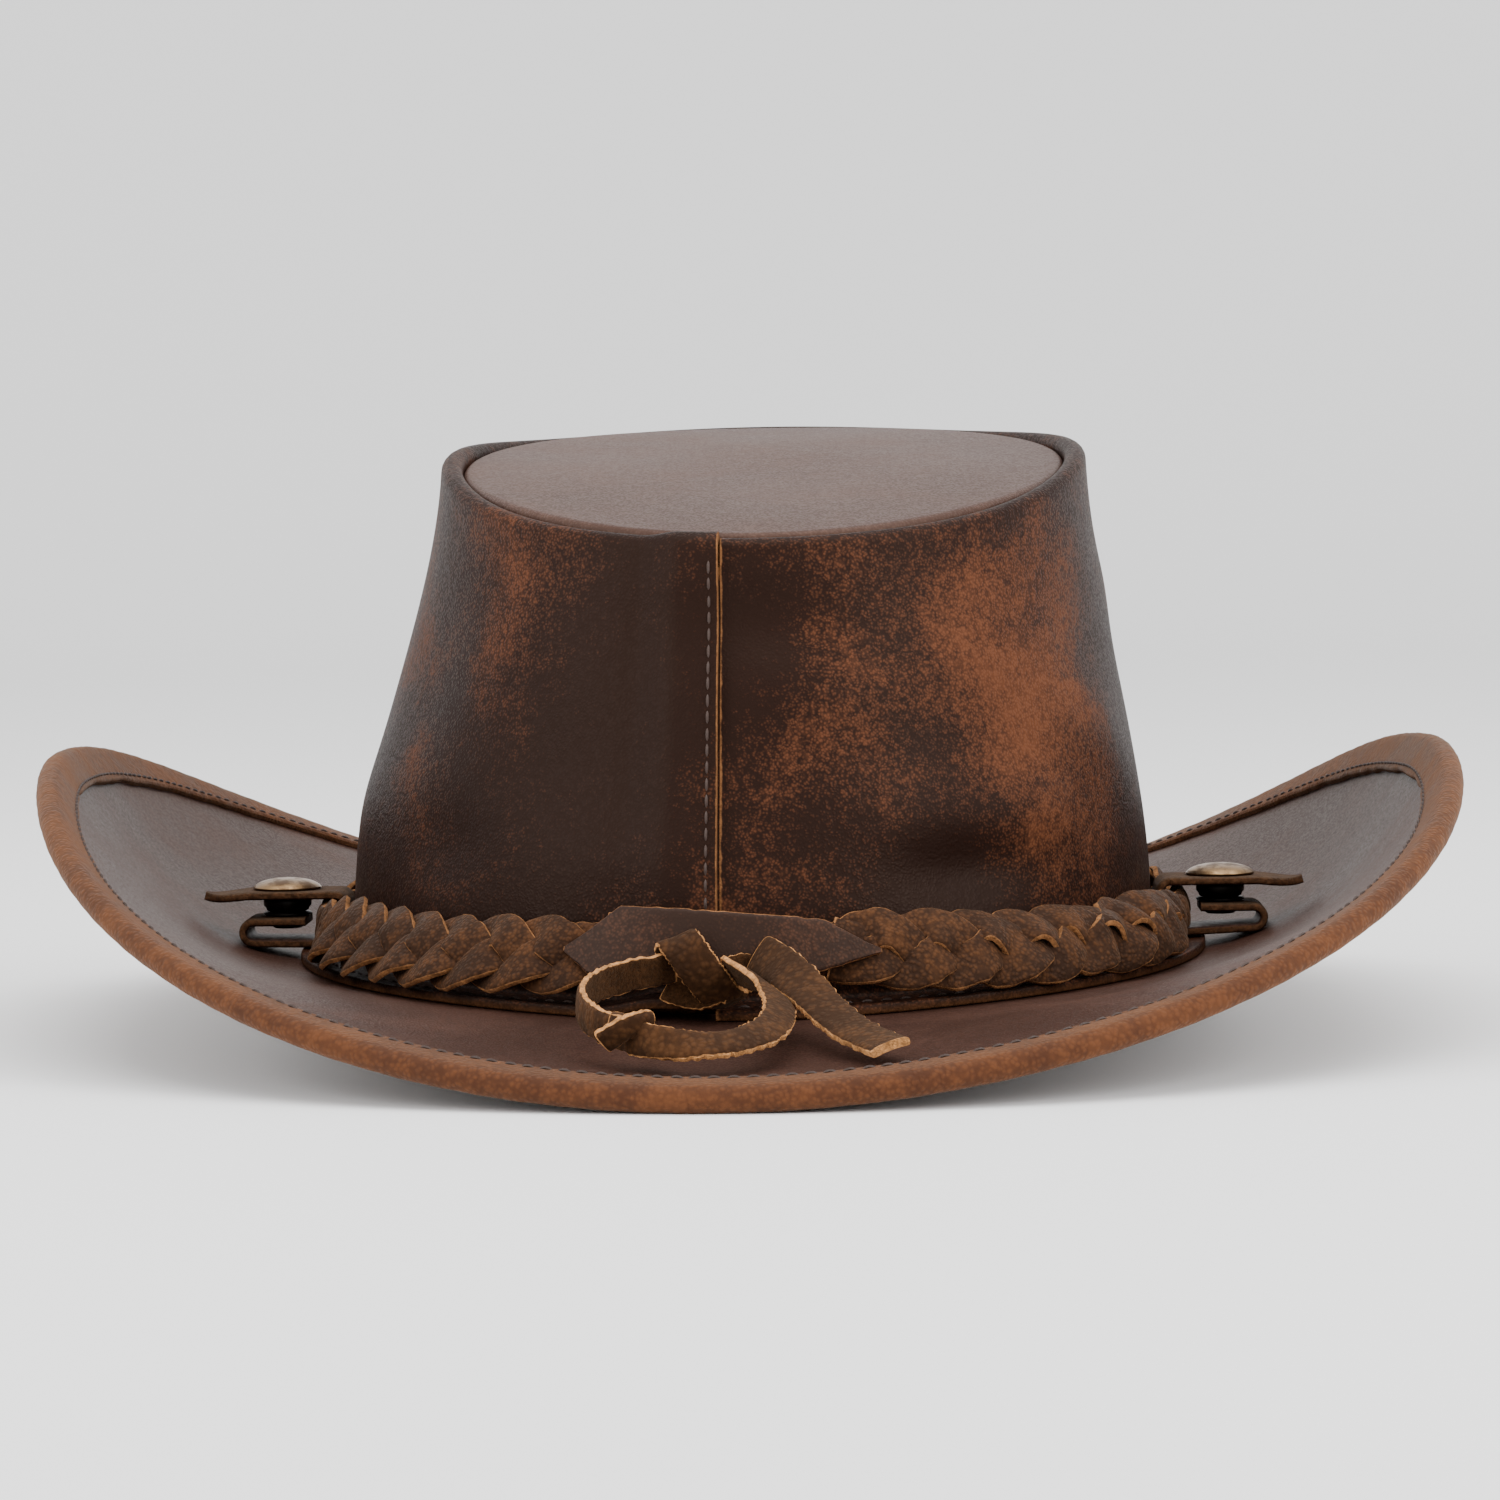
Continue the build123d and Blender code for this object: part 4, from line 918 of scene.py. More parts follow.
class HAT_OT_stage(bpy.types.Operator):
    """Make the pale floor and backdrop, the soft lights and the camera"""

    bl_idname = "hat.stage"
    bl_label = "Stage"

    def execute(self, context):
        stage = context.scene.hat_stage
        x = np.linspace(-6, 6, 5)
        bend = np.radians(np.linspace(0, 90, 13))
        y = np.r_[-6.0, 0.0, 1.5, 2.2 + np.sin(bend) * 0.8, 3.0]
        z = np.r_[0.0, 0.0, 0.0, 0.8 - np.cos(bend) * 0.8, 4.0]
        points = np.stack(np.broadcast_arrays(x[:, None], y, z), axis=-1)
        grid = np.arange(points.shape[0] * points.shape[1]).reshape(points.shape[:2])
        mesh = bpy.data.meshes.new("backdrop")
        mesh.from_pydata(points.reshape(-1, 3), [], quads(grid).tolist())
        mesh.shade_smooth()
        add_object("backdrop", mesh, floor_material(), body=None)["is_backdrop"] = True
        area_light("Top Light", (0.1, -0.25, 1.5), (1.6, 1.2), stage.top_light)
        area_light("Right Light", (1.3, -0.9, 0.75), (0.9, 1.1), stage.side_light)
        area_light("Left Light", (-1.35, -0.75, 0.65), (0.8, 1.0), stage.fill_light)
        world = bpy.data.worlds.new("Surroundings")
        world.use_nodes = True
        sky = world.node_tree.nodes["Background"]
        sky.inputs["Color"].default_value = (1.0, 1.0, 1.0, 1.0)
        sky.inputs["Strength"].default_value = stage.sky
        context.scene.world = world
        turn, rise = stage.azimuth, stage.elevation
        back = Vector((math.sin(turn) * math.cos(rise), -math.cos(turn) * math.cos(rise), math.sin(rise)))
        eye = bpy.data.cameras.new("Camera")
        eye.lens = stage.lens
        eye.sensor_width = 36.0
        eye.shift_x, eye.shift_y = 0.0045, 0.0590
        eye.clip_start, eye.clip_end = 0.05, 50.0
        camera = bpy.data.objects.new("Camera", eye)
        camera.matrix_world = look_from(TARGET + back * stage.distance, stage.roll)
        context.scene.collection.objects.link(camera)
        context.scene.camera = camera
        return {"FINISHED"}


# ---- brim -----------------------------------------------------------------------------------

def ring_angles(count, start=None):
    """Angles all the way round from the seam, without the last one."""
    start = seam() if start is None else start
    return start + np.arange(count)[:, None] * 360.0 / count


class HAT_OT_brim(bpy.types.Operator):
    """Make the brim, its binding and the rows of stitches that hold the binding"""

    bl_idname = "hat.brim"
    bl_label = "Brim"

    def execute(self, context):
        self.brim()
        self.binding()
        self.wire()
        return {"FINISHED"}

    def brim(self):
        """Brim: a sheet from inside the crown to the wire, with slow waves of up to half a
        millimetre that fade out at both of its edges."""
        angle = ring_angles(520)
        size = sizes()
        _, _, out, _ = edge_frame(angle)
        end = brim_reach(angle) - (WIRE_RADIUS + WIRE_PLAY) * out
        share = stops(1.0, 40)
        share = share / share[-1]
        d = -size.leather + (end + size.leather) * share
        wave = 0.5 * MM * (np.sin(np.radians(3 * angle + 40)) * np.sin(7 * share)
                           + 0.6 * np.sin(np.radians(5 * angle)) * np.sin(11 * share + 1))
        free = np.clip((d - FLANGE - 4 * MM) / (14 * MM), 0, 1)
        free = free * np.clip((end - d - 8 * MM) / (14 * MM), 0, 1)
        wave = wave * free * free * (3 - 2 * free)
        half = size.leather / 2 * rounding(share * 80 * MM, size.leather / 2)
        outer = place(angle, *brim_point(angle, d, wave + half))
        inner = place(angle, *brim_point(angle, d, wave - half))
        brim = leather("brim_leather", outer, inner, brim_material(), around=True)
        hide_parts("brim")

    def wire(self):
        """Wire: a circle carried round the edge."""
        angle = ring_angles(360)
        d, z, out, up = edge_frame(angle)
        turn = np.linspace(0, 2 * np.pi, 10, endpoint=False)
        points = place(angle, d + WIRE_RADIUS * (np.cos(turn) * out - np.sin(turn) * up),
                       z + WIRE_RADIUS * (np.cos(turn) * up + np.sin(turn) * out))
        grid = np.arange(points.shape[0] * points.shape[1]).reshape(points.shape[:2])
        grid = np.vstack([grid, grid[:1]])
        grid = np.hstack([grid, grid[:, :1]])
        wire = add_object("edge_wire", build_mesh("edge_wire", points, quads(grid)), steel_material())
        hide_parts("brim_wire")

    def binding(self):
        """Binding: two legs along the brim's faces and a half circle round the wire.  The legs'
        raw ends wander, and the outer face sinks a little at every stitch."""
        count = 1000
        angle = ring_angles(count)
        size = sizes()
        d, z, out, up = edge_frame(angle)
        rows = np.arange(count)
        reach = size.binding_leg + fray(count, 11, 0.22 * MM, grip=5)[:, None]
        low_reach = size.binding_leg + fray(count, 12, 0.22 * MM, grip=5)[:, None]
        share = stops(size.binding_leg, 7) / size.binding_leg
        turn = np.radians(np.linspace(90, -90, 13))[1:-1]
        swell_out = 0.03 * MM * (np.sin(rows * 0.9) + np.sin(rows * 0.37 + 1))[:, None]

        def section(radius, low_radius):
            top = brim_point(angle, d - reach * (1 - share[:-3]) * out, radius[:, : len(share) - 3])
            bow = radius[:, -1:] + swell_out * (radius[:, -1:] > size.leather)
            arc_d = d + bow * (np.cos(turn) * out - np.sin(turn) * up)
            arc_z = z + bow * (np.cos(turn) * up + np.sin(turn) * out)
            below = -low_radius[:, : len(share) - 3][:, ::-1]
            low = brim_point(angle, d - low_reach * (1 - share[:-3])[::-1] * out, below)
            return place(angle, np.hstack([top[0], arc_d, low[0]]), np.hstack([top[1], arc_z, low[1]]))

        thick = size.binding * (1 - 0.4 * (1 - np.clip(share * size.binding_leg / (0.8 * MM), 0, 1)) ** 2)
        base = size.leather / 2 + AIR
        dip = 0.22 * MM * np.exp(-(((share * size.binding_leg - 1.7 * MM) / (0.7 * MM)) ** 2))
        pulse = 0.6 + 0.4 * np.cos(rows[:, None] * 1.9)
        outer_radius = base + thick - dip * pulse
        inner_radius = np.full_like(outer_radius, base)
        outer, inner = section(outer_radius, outer_radius), section(inner_radius, inner_radius)
        binding = leather("brim_binding_leather", outer, inner, binding_material(), around=True)
        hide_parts("brim_binding")
        for index, side in enumerate((1, -1)):
            ring = np.append(angle[:, 0], angle[0, 0] + 360)
            dd, _, oo, _ = edge_frame(ring)
            lie = side * (base + size.binding - 0.02 * MM)
            path = place(ring, *brim_point(ring, dd - (size.binding_leg - 1.7 * MM) * oo, lie))
            above = place(ring, *brim_point(ring, dd - (size.binding_leg - 1.7 * MM) * oo, lie + side * MM))
            middles, along, share_at = even_places(path, size.stitch_pitch, jitter=0.12 * MM, seed=5 + index)
            at = (share_at * (len(path) - 1)).astype(int)
            row = stitches(f"brim_binding_stitches_{index + 1}", middles, along, normalised(above - path)[at])
            if index == 0:
                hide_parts("brim_binding_stitching")


# ---- crown ----------------------------------------------------------------------------------

def crown_section(angle, lift):
    """Outer and inner points of the crown's panel: flange, bend, wall, rolled rim and allowance,
    each with its own way of moving where the panel laps over itself."""
    half = sizes().leather / 2
    low, high = wall_span(angle)
    one = np.ones_like(angle)
    parts = []
    d = np.array([12.0, 11.85, 11.5, 10.8, 9.0, 7.0, 5.2, 3.6]) * MM
    level, upright = 0 * d * one, one + 0 * d
    parts.append((d * one, brim_middle(angle, d) + flange_top() - half, level, upright, level, upright))
    c, s = trig(np.array([270.0, 254.0, 238.0, 222.0, 206.0, 192.0]))
    parts.append((BEND_RADIUS - half + BEND_RADIUS * c * one, low + BEND_RADIUS * s, -c * one, -s * one,
                  one + 0 * c, one + 0 * c))
    z = low + (high - low) * np.linspace(0, 0.975, 52)
    move = swell(angle, z)
    d_in, z_in = wall_point(angle, z, -half)
    d_out, z_out = wall_point(angle, z, half)
    nd, nz = unit(d_out - d_in, z_out - z_in)
    parts.append((d_in + move * nd, z_in + move * nz, nd, nz, one + 0 * z, 0 * z))
    centre = -top_inset(angle) - half - ROLL_RADIUS
    c, s = trig(np.linspace(0, 180, 11))
    share = (1 + c) / 2
    parts.append((centre + ROLL_RADIUS * c, high + ROLL_RADIUS * s, c * one, s * one,
                  c * share * one, s * share * one))
    drop = np.array([2.0, 4.0, 6.2, 7.4, 7.85, 8.0]) * MM
    parts.append(((centre - ROLL_RADIUS) + 0 * drop, high - drop, -one + 0 * drop, 0 * drop * one,
                  0 * drop * one, 0 * drop * one))
    d, z, nd, nz, out, up = (np.hstack(part) for part in zip(*parts))
    d, z = d + lift * out, z + lift * up
    thin = np.ones(d.shape[1])
    thin[[0, 1, 2, -3, -2, -1]] = 0.6, 0.85, 0.97, 0.97, 0.85, 0.6
    half = half * thin
    return (d + half * nd, z + half * nz), (d - half * nd, z - half * nz)


class HAT_OT_crown(bpy.types.Operator):
    """Make the crown's side panel with its lapped back seam, and the tip"""

    bl_idname = "hat.crown"
    bl_label = "Crown"

    def execute(self, context):
        self.side()
        self.tip()
        self.stitching()
        return {"FINISHED"}

    def side(self):
        """Side panel: one sheet that starts at the back seam and laps over its own start."""
        size = sizes()
        start = seam()
        lap = start + 360 - LAP_WIDTH - LAP_RAMP
        angle = np.r_[np.linspace(start, lap, 470)[:-1], np.linspace(lap, start + 360 - LAP_GAP, 40)][:, None]
        t = np.clip((angle - lap) / LAP_RAMP, 0, 1)
        lift = (size.leather + AIR) * t * t * (3 - 2 * t)
        outer, inner = crown_section(angle, lift)
        crown = leather("crown_leather", place(angle, *outer), place(angle, *inner), crown_material(),
                        hem=0.2)
        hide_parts("crown_side")
        angle = np.linspace(start - LAP_WIDTH, start + 1, 16)[:, None]
        low, high = wall_span(angle)
        z = low + (high - low) * np.linspace(0.01, 0.96, 40)
        skin = 0.1 * MM
        under_out = wall_point(angle, z, swell(angle, z) - skin)
        under_in = wall_point(angle, z, swell(angle, z) - size.leather + skin)
        under = leather("crown_underlap", place(angle, *under_out), place(angle, *under_in), crown_material())

    def tip(self):
        """Tip: a low dome that follows the rim's height, turned down all round inside the crown.
        Its sections run from the middle out to the edge, round a small corner and down."""
        size = sizes()
        angle = ring_angles(300)
        edge = -size.leather - 2 * ROLL_RADIUS - AIR
        corner = 1.6 * MM
        skirt = ALLOWANCE + 2 * MM

        def face(inset, drop, radius):
            reach = edge - top_inset(angle) - inset
            ex, ey = oval_point(angle, reach - radius)
            dx, dy = centring()
            share = np.linspace(0, 1, 30)
            x, y = ex * share, ey * share
            sag = 0.5 * MM * np.sin(70 * x + 1) * np.sin(55 * y) * (1 - share**4)
            dome = TIP_DOME * (1 - (y / size.head_half_length) ** 2)
            top = np.stack([x + dx, y + dy, top_height(y) - TIP_DROP + dome + sag - drop], axis=-1)
            c, s = trig(np.linspace(72, 0, 5))
            rx, ry = oval_point(angle, reach - radius + radius * c)
            rim = top[:, -1:, 2] - radius + radius * s
            bend = np.stack([rx + dx, ry + dy, rim], axis=-1)
            fall = np.array([1.0, 3.0, 5.5, 7.5, 7.9, 8.1]) * MM * (skirt / (8.1 * MM)) * 0.8
            sx, sy = oval_point(angle, reach + np.zeros(len(fall)))
            side = np.stack([sx + dx, sy + dy, rim[:, -1:] - fall], axis=-1)
            return np.concatenate([top, bend, side], axis=1)

        outer = face(0.0, 0.0, corner)
        inner = face(size.leather, size.leather, 0.4 * MM)
        inner[:, -6:, 2] = outer[:, -6:, 2]
        tip = leather("tip_leather", outer, inner, tip_material(), around=True, pole=True)
        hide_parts("crown_tip")

    def stitching(self):
        """Rows of the crown: along the back seam's lap, round the tip and on the flange."""
        size = sizes()
        row = np.array(seam() - 1.7 + 360)
        low, high = wall_span(row)
        z = np.linspace(low + 3 * MM, high - 2 * MM, 200)
        face = size.leather + AIR + swell(row, z)
        path = place(row, *wall_point(row, z, face))
        above = place(row, *wall_point(row, z, face + MM))
        middles, along, share = even_places(path, 3.5 * MM, jitter=0.1 * MM, seed=8)
        up = normalised(above - path)[(share * 199).astype(int)]
        back = stitches("back_seam_stitches", middles, along, up)
        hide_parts("crown_back_seam_stitching")

        ring = np.linspace(seam(), seam() + 360, 400)
        edge = -size.leather * 2 - 2 * ROLL_RADIUS - AIR
        dz = rim_height(ring) - TIP_DROP - ALLOWANCE / 2 - size.leather
        path = place(ring, edge - top_inset(ring), dz)
        inward = place(ring, edge - top_inset(ring) - MM, dz)
        middles, along, share = even_places(path, 4.2 * MM, jitter=0.1 * MM, seed=9)
        up = normalised(inward - path)[(share * 399).astype(int)]
        tip = stitches("tip_stitches", middles, along, up)
        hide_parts("crown_tip_stitching")

        clear = 12.0
        runs = []
        for start, end in ((seam() + 2, -clear), (clear, 180 - clear), (180 + clear, seam() + 345)):
            ring = np.linspace(start, end, 200)
            d = FLANGE * 0.62
            path = place(ring, d, brim_middle(ring, d) + flange_top())
            middles, along, _ = even_places(path, 4.2 * MM, jitter=0.1 * MM, seed=10)
            runs.append((middles, along))
        middles, along = (np.concatenate(part) for part in zip(*runs))
        flange = stitches("flange_stitches", middles, along, np.tile([0.0, 0.0, 1.0], (len(middles), 1)))
        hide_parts("brim_seam_stitching")


class HAT_OT_sweatband(bpy.types.Operator):
    """Make the sweatband inside the crown and its row of stitches"""

    bl_idname = "hat.sweatband"
    bl_label = "Sweatband"

    def execute(self, context):
        size = sizes()
        angle = ring_angles(320)
        share = stops(size.sweatband_height, 16) / size.sweatband_height
        z = base_height(angle) - size.leather / 2 + size.sweatband_height * share
        ease = 0.25 * MM * np.sin(np.radians(angle * 9)) * share
        outside = size.leather + SWEATBAND_GAP - 0.1 * MM + np.abs(ease)
        middle = outside + SWEATBAND / 2
        half = SWEATBAND / 2 * rounding(share * size.sweatband_height, SWEATBAND / 2)
        outer = place(angle, *wall_point(angle, z, -middle + half))
        inner = place(angle, *wall_point(angle, z, -middle - half))
        band = leather("sweatband_leather", inner, outer, sweatband_material(), around=True)
        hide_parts("sweatband")
        ring = np.linspace(seam(), seam() + 360, 400)
        depth = size.leather + SWEATBAND_GAP + SWEATBAND
        path = place(ring, *wall_point(ring, base_height(ring) + 2 * MM, -depth))
        inward = place(ring, *wall_point(ring, base_height(ring) + 2 * MM, -depth - MM))
        middles, along, at = even_places(path, 4.2 * MM, jitter=0.1 * MM, seed=14)
        up = normalised(inward - path)[(at * 399).astype(int)]
        row = stitches("sweatband_stitches", middles, along, up)
        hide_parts("sweatband_stitching")
        return {"FINISHED"}


# ---- braided band ---------------------------------------------------------------------------

BAND_HALF_THICKNESS, BAND_GATHER, BAND_GATHER_ANGLE = 3 * MM, 0.56, 20.0
BRAID_DROP = 1.8 * MM
BAND_LEAN, BAND_LEAN_BACK, BAND_LEAN_KEEPER = 38.0, 12.0, 4.0
BAND_WALL_GAP, BAND_REST_GAP, BAND_LAP_GAP = 0.5 * MM, 1.0 * MM, 1.1 * MM
KEEPER_PINCH, KEEPER_LIFT = 2.4 * MM, 1.8 * MM
TAB_LEFT, TAB_RIGHT, TAB_REACH = -34 * MM, 27 * MM, 6 * MM
INNER_TAB_LEFT, INNER_TAB_RIGHT = -38 * MM, 8 * MM
TAB = 2 * MM


def gather(angle):
    """One at a keeper, nought away from both: a flat-topped bell curve."""
    away = np.minimum(np.abs(angle % 360 - 180), np.abs((angle + 180) % 360 - 180))
    return np.exp(-((away / BAND_GATHER_ANGLE) ** 4))


def band_frame(angle):
    """Centre, up direction and half height of the band at each angle."""
    g = gather(angle)
    back = np.exp(-((((angle + 270) % 360 - 180) / 24.0) ** 2))
    lean = BAND_LEAN + (BAND_LEAN_BACK - BAND_LEAN) * back
    lean = np.radians(lean + (BAND_LEAN_KEEPER - lean) * g)
    height = sizes().braid_half_height * (1 - BAND_GATHER * g)
    over = (sizes().leather + AIR + BAND_LAP_GAP) * back
    rest = base_height(angle) + flange_top() + BAND_REST_GAP + KEEPER_LIFT * g + over
    gap = BAND_WALL_GAP + KEEPER_PINCH * g + over
    d = gap + height * np.sin(lean) + BAND_HALF_THICKNESS * np.cos(lean)
    z = rest + height * np.cos(lean) + BAND_HALF_THICKNESS * np.sin(lean)
    return d, z, -np.sin(lean), np.cos(lean), height


def band_point(angle, up, out):
    """Point of the band, up along it and outwards across it from its centre."""
    d, z, ud, uz, _ = band_frame(angle)
    return place(angle, d + up * ud + out * uz, z + up * uz - out * ud)


class HAT_OT_braid(bpy.types.Operator):
    """Make the three plaited strands of the band"""

    bl_idname = "hat.braid"
    bl_label = "Braid"

    def execute(self, context):
        """Each strand swings up and down the band as a sine, and in and out as minus the sine
        of twice that phase; the three strands are a third of a period apart."""
        size = sizes()
        start = angle_at(TAB_RIGHT - 9 * MM, 5 * MM)
        end = angle_at(TAB_LEFT + 6 * MM, 5 * MM) + 360
        angle = np.linspace(start, end, 3000)
        spine = band_point(angle, 0.0, 0.0)
        run = np.r_[0, np.cumsum(np.linalg.norm(np.diff(spine, axis=0), axis=1))]
        at = np.arange(0, run[-1], 0.75 * MM)
        angle = np.interp(at, run, angle)
        g = gather(angle)
        _, _, _, _, height = band_frame(angle)
        uneven = 1 + 0.06 * np.sin(at * 310) + 0.05 * np.sin(at * 173 + 1)
        wide = size.strand_half_width * (1 - 0.45 * g) * uneven
        swing = height - wide * 0.97
        near_end = np.exp(-((at / (9 * MM)) ** 2)) + np.exp(-(((run[-1] - at) / (7 * MM)) ** 2))
        tuck = 2.2 * MM * near_end
        flat = 1 - 0.45 * near_end
        outward = normalised(band_point(angle, 0.0, MM) - spine_at(angle))
        for index, node in enumerate(("lower", "middle", "upper")):
            phase = 2 * np.pi * (at / (3 * size.braid_lobe) + index / 3)
            wobble = 0.10 * np.sin(at * 97 + index * 2)
            phase = phase + wobble
            up = swing * flat * np.sin(phase) + 0.3 * MM * np.sin(at * 211 + index) - BRAID_DROP * (1 - g)
            out = -1.25 * MM * np.sin(2 * phase) * flat - tuck
            path = band_point(angle, up, out)
            along = normalised(np.gradient(path, axis=0))
            across = normalised(np.cross(outward, along))
            right = np.exp(-((((angle + 38) % 360 + 180) % 360 - 180) / 26.0) ** 2)
            twist = np.radians(26) * right * np.sin(phase + 1.9 + index)
            turn = np.radians(10) * np.sin(2 * phase + 0.7) + twist
            across = across * np.cos(turn)[:, None] + outward * np.sin(turn)[:, None]
            strand = ribbon(f"strand_{node}", path, across, wide, size.strand_thickness, braid_material(),
                            bulge=0.45 * MM, seed=20 + 2 * index, rough=0.13 * MM, columns=7)
            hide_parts(f"hatband_strand_{node}")
        return {"FINISHED"}


def spine_at(angle):
    return band_point(angle, 0.0, 0.0)


class HAT_OT_tabs(bpy.types.Operator):
    """Make the two tabs that join the band's ends at the back"""

    bl_idname = "hat.tabs"
    bl_label = "Tabs"

    def execute(self, context):
        outline_x = np.array([-34.0, -24.0, 17.0, 27.0]) * MM
        top = np.array([-1.2, 7.4, 3.6, -2.6]) * MM
        low_x = np.array([-34.0, -28.0, 13.0, 27.0]) * MM
        low = np.array([-2.2, -7.6, -7.8, -3.4]) * MM
        self.tab("outer_tab_leather", TAB_LEFT, TAB_RIGHT, (outline_x, top), (low_x, low), AIR / 2,
                 "hatband_outer_tab", 0.35 * MM)
        inner_x = np.array([-27.0, 8.0]) * MM
        self.tab("inner_tab_leather", INNER_TAB_LEFT + 11 * MM, INNER_TAB_RIGHT,
                 (inner_x, np.array([6.8, 3.2]) * MM), (inner_x, np.array([-7.0, -7.0]) * MM),
                 -AIR / 2 - TAB, "hatband_inner_tab", 0.0)
        return {"FINISHED"}

    def tab(self, name, left, right, top, low, inside, node, curl):
        """Tab: at each place along the band it reaches from the low line to the top line; its
        corners lift off by a square of the distance from its middle."""
        x = np.r_[left, left + 0.3 * MM, np.linspace(left + MM, right - MM, 90), right - 0.3 * MM, right]
        angle = np.array([angle_at(value, TAB_REACH) for value in x])[:, None]
        high_line = np.interp(x, *top)[:, None] + fray(len(x), 31, 0.07 * MM)[:, None]
        low_line = np.interp(x, *low)[:, None] + fray(len(x), 32, 0.07 * MM)[:, None]
        share = stops(15 * MM, 12) / (15 * MM)
        up = low_line + (high_line - low_line) * share
        away = np.abs((x - (left + right) / 2) / ((right - left) / 2))[:, None]
        lift = curl * away**4 + 0.15 * MM * np.sin(x * 260)[:, None] * (inside > 0)
        middle = inside + TAB / 2 + np.maximum(lift, 0)
        half = 0.9 * MM * rounding(share * 15 * MM, 0.9 * MM)
        outer = band_point(angle, up, middle + half)
        inner = band_point(angle, up, middle - half)
        tab = leather(name, outer, inner, tab_material())
        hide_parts(node)


# ---- tie lace -------------------------------------------------------------------------------

# Route of the loop's middle: sideways, and outwards on a plane that leans over the brim.
LOOP_START = np.array([0.0, -121.0, 22.0]) * MM
LOOP_SLOPE = 0.19
LOOP_POINTS = np.array([
    (-11.0, 0.0), (-21.0, 5.5), (-28.0, 15.0), (-29.5, 27.0), (-26.0, 39.0), (-19.0, 49.0),
    (-9.0, 56.5), (1.5, 56.0), (8.5, 48.0), (11.0, 36.0), (10.0, 24.0), (6.5, 12.5), (0.0, 3.0),
]) * MM
# Route of the tail's middle in an upright plane: outwards from its start, and height.
TAIL_START = np.array([6.0, -121.2, 0.0]) * MM
TAIL_HEADING = -64.0
TAIL_POINTS = np.array([(0.0, 24.0), (9.0, 23.2), (21.0, 19.6), (34.0, 14.8), (48.0, 11.4),
                        (61.0, 10.6)]) * MM


def smooth_route(points):
    """Points along the NURBS curve that has the given route as its control points."""
    curve = bpy.data.curves.new("route", "CURVE")
    curve.dimensions = "3D"
    curve.resolution_u = 24
    spline = curve.splines.new("NURBS")
    spline.points.add(len(points) - 1)
    spline.points.foreach_set("co", np.c_[points, np.ones(len(points))].ravel())
    spline.order_u = 3
    spline.use_endpoint_u = True
    route = bpy.data.objects.new("route", curve)
    line = bpy.data.meshes.new_from_object(route)
    found = np.zeros(len(line.vertices) * 3)
    line.vertices.foreach_get("co", found)
    bpy.data.meshes.remove(line)
    bpy.data.objects.remove(route)
    bpy.data.curves.remove(curve)
    return found.reshape(-1, 3)


def loop_frame():
    """Sideways, outwards and up directions of the plane that the loop lies on."""
    size = math.hypot(1.0, LOOP_SLOPE)
    out, up = np.array([0.0, -1.0, -LOOP_SLOPE]) / size, np.array([0.0, -LOOP_SLOPE, 1.0]) / size
    return np.array([1.0, 0.0, 0.0]), out, up


